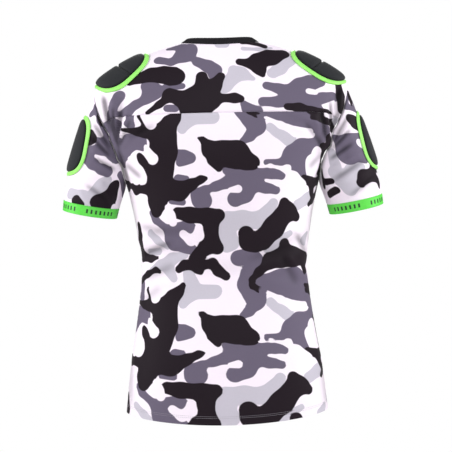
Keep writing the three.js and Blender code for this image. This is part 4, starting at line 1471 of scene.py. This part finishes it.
# A foam block from its straight edge at the groove to the pad's outline, crowned towards its middle. Ends is 1
# for the block towards the arm, and -1 for the one towards the neck.
def makeShoulderPad(side, word, ends, part):
    pad = padShape["shoulder"]
    over = overShoulder(side)
    halfMm = pad["halfRings"] * pad["ringMm"]
    start = pad["groove"] + ends * padShape["grooveGap"] / 2 / halfMm
    corner = math.atan2((1 - abs(start) ** pad["square"]) ** (1 / pad["square"]), start)
    sweep = (-corner, corner) if ends > 0 else (corner, 2 * math.pi - corner)
    angles = np.linspace(*sweep, padShape["across"])
    shares = 1 - (1 - np.linspace(0, 1, padShape["inward"])) ** 1.5
    lengthOut, width = outlinePoint(angles[None, :], pad["square"])
    length = start + (lengthOut - start) * shares[:, None]
    width = width + 0 * length
    rim = 1 - (np.abs(length) ** pad["square"] + np.abs(width) ** pad["square"]) ** (1 / pad["square"])
    fromGroove = np.abs(length - pad["groove"]) * halfMm
    full = quarterRound(rim / padShape["crown"]) * (0.3 + 0.7 * quarterRound(fromGroove / padShape["grooveRise"]))
    inGroove = 1 - quarterRound(fromGroove / padShape["grooveRound"])
    atRim = 1 - quarterRound(rim / padShape["rimRound"])
    height = padShape["edge"] + (pad["foam"] - padShape["edge"]) * full
    height -= padShape["rimDrop"] * atRim + padShape["grooveDrop"] * inGroove
    # Painted shade: the rim beside the binding and the groove between the blocks are darkened nearly to black.
    dark = np.maximum(1 - quarterRound(rim / padShape["rimDark"]), inGroove)
    node = f"shoulder_pad_{part.lower()}_{word.lower()}"
    finishPad(f"shoulderPad{part}{word}", node, over, pad["lift"], length, width, height, dark, False)


def makeArmPad(side, word):
    pad = padShape["arm"]
    over = overArm(side)
    angles = np.linspace(0, 2 * math.pi, padShape["around"], endpoint=False)
    shares = (1 - (1 - np.linspace(0, 1, padShape["inward"])) ** 1.5)[:, None]
    length, width = outlinePoint(angles[None, :], pad["square"])
    length, width = length * shares, width * shares
    rim = 1 - shares
    height = padShape["edge"] + (pad["foam"] - padShape["edge"]) * quarterRound(rim / padShape["crown"])
    height = height - padShape["rimDrop"] * (1 - quarterRound(rim / padShape["rimRound"])) + 0 * length
    # Painted shade: the rim beside the binding is darkened nearly to black.
    dark = 1 - quarterRound(rim / padShape["rimDark"]) + 0 * length
    node = f"arm_pad_{word.lower()}"
    finishPad(f"armPad{word}", node, over, pad["lift"], length, width, height, dark, True)


# Small rods end to end along a line, as stitches: each is a spindle, fuller in its middle.
def stitchRow(line, normals, stitch, gap, radius):
    steps = np.linalg.norm(np.diff(line, axis=0), axis=1)
    gone = np.concatenate([[0], np.cumsum(steps)])
    count = int(gone[-1] / (stitch + gap))
    starts = (np.arange(count) + 0.5) * gone[-1] / count - stitch / 2
    at = lambda values, where: np.stack([np.interp(where, gone, values[:, k]) for k in range(3)], -1)
    begin, end, up = at(line, starts), at(line, starts + stitch), at(normals, starts + stitch / 2)
    up /= np.linalg.norm(up, axis=1, keepdims=True)
    beside = np.cross(end - begin, up)
    beside /= np.linalg.norm(beside, axis=1, keepdims=True)
    shares = np.array([0.0, 0.12, 0.5, 0.88, 1.0])
    profile = np.array([0.15, 0.8, 1.0, 0.8, 0.15])
    sides, last = 6, 24  # six points a ring, and the first point of the last ring
    angles = np.arange(sides) * math.pi / 3
    ring = up[:, None, None] * np.sin(angles)[:, None] + beside[:, None, None] * np.cos(angles)[:, None]
    middle = begin[:, None, None] + (end - begin)[:, None, None] * shares[:, None, None]
    points = middle + ring * (profile * radius)[:, None, None]
    index = np.arange(len(shares) * sides).reshape(len(shares), sides)
    index = np.concatenate([index, index[:, :1]], 1)
    quads = np.stack([index[:-1, :-1], index[:-1, 1:], index[1:, 1:], index[1:, :-1]], -1).reshape(-1, 4)
    ends = np.array([[0, 5, 4, 3], [0, 3, 2, 1], [0, 1, 2, 3], [0, 3, 4, 5]]) + [[0], [0], [last], [last]]
    quads = np.concatenate([quads, ends])
    return points.reshape(-1, 3), quads[None] + (np.arange(count) * len(shares) * sides)[:, None, None]


def makeStitches(name, rows, material, slot):
    allPoints, allQuads, count = [], [], 0
    for points, quads in rows:
        allPoints.append(points)
        allQuads.append(quads.reshape(-1, 4) + count)
        count += len(points)
    piece = meshPiece(name, np.concatenate(allPoints), np.concatenate(allQuads), material)
    fit(piece, slot)


# The binding tape: a rounded section carried round the pad's outline, just outside it, with a row of stitches
# along its middle.
def makeBinding(name, node, over, square, lift):
    angles = np.linspace(0, 2 * math.pi, tape["columns"], endpoint=False)
    top = tape["height"] + tape["crown"]
    out = np.array(tape["out"]) * tape["width"] + tape["gap"]
    up = np.array([lift, *tape["rise"], top, *tape["fall"], lift])
    length, width = outlinePoint(angles[:, None], square)
    points = over(length + 0 * out[None], width + 0 * out[None], out[None, :], up[None, :])
    index = np.arange(points[..., 0].size).reshape(points.shape[:2])
    index = np.concatenate([index, index[:1]])
    index = np.concatenate([index, index[:, :1]], 1)
    quads = np.stack([index[:-1, :-1], index[1:, :-1], index[1:, 1:], index[:-1, 1:]], -1).reshape(-1, 4)
    piece = meshPiece(name, points.reshape(-1, 3), quads, tapeMaterial)
    fit(piece, "green_binding", node)
    closed = np.concatenate([angles, angles[:1]])
    lengthLine, widthLine = outlinePoint(closed, square)
    line = over(lengthLine, widthLine, 0.5 * tape["width"], top)
    above = over(lengthLine, widthLine, 0.5 * tape["width"], top + 1)
    around = np.linalg.norm(np.diff(line, axis=0), axis=1).sum()
    print(name, "length", round(around))
    return stitchRow(line - (above - line) * 0.05, above - line, **bindingStitch)


bindingRows = []
for side, word in ((1, "Right"), (-1, "Left")):
    makeShoulderPad(side, word, -1, "Inner")
    makeShoulderPad(side, word, 1, "Outer")
    makeArmPad(side, word)
    for kind, over in (("shoulder", overShoulder(side)), ("arm", overArm(side))):
        pad = padShape[kind]
        node = f"{kind}_binding_{word.lower()}"
        bindingRows.append(makeBinding(f"{kind}Binding{word}", node, over, pad["square"], pad["lift"]))
makeStitches("bindingStitches", bindingRows, greenThread, "green_binding")
print("pads and bindings made")


# The hem is held by two rows of stitches, which lie across the columns at a set distance from the edge.
def hemRows(outer, normals):
    toHem = fromEdge(outer, "bottom")
    found = []
    for height in hemStitchHeights:
        columns = np.arange(outer.shape[1])
        line = np.stack([
            np.stack([np.interp(height, toHem[::-1, i], outer[::-1, i, k]) for k in range(3)]) for i in columns
        ])
        row = np.abs(toHem - height).argmin(0)
        found.append(stitchRow(line, normals[row, columns], **hemStitch))
    return found


makeStitches(
    "hemStitches", hemRows(back["outer"], back["normals"]) + hemRows(front["outer"], front["normals"]),
    whiteThread, "camouflage_jersey"
)
print("hem stitched")
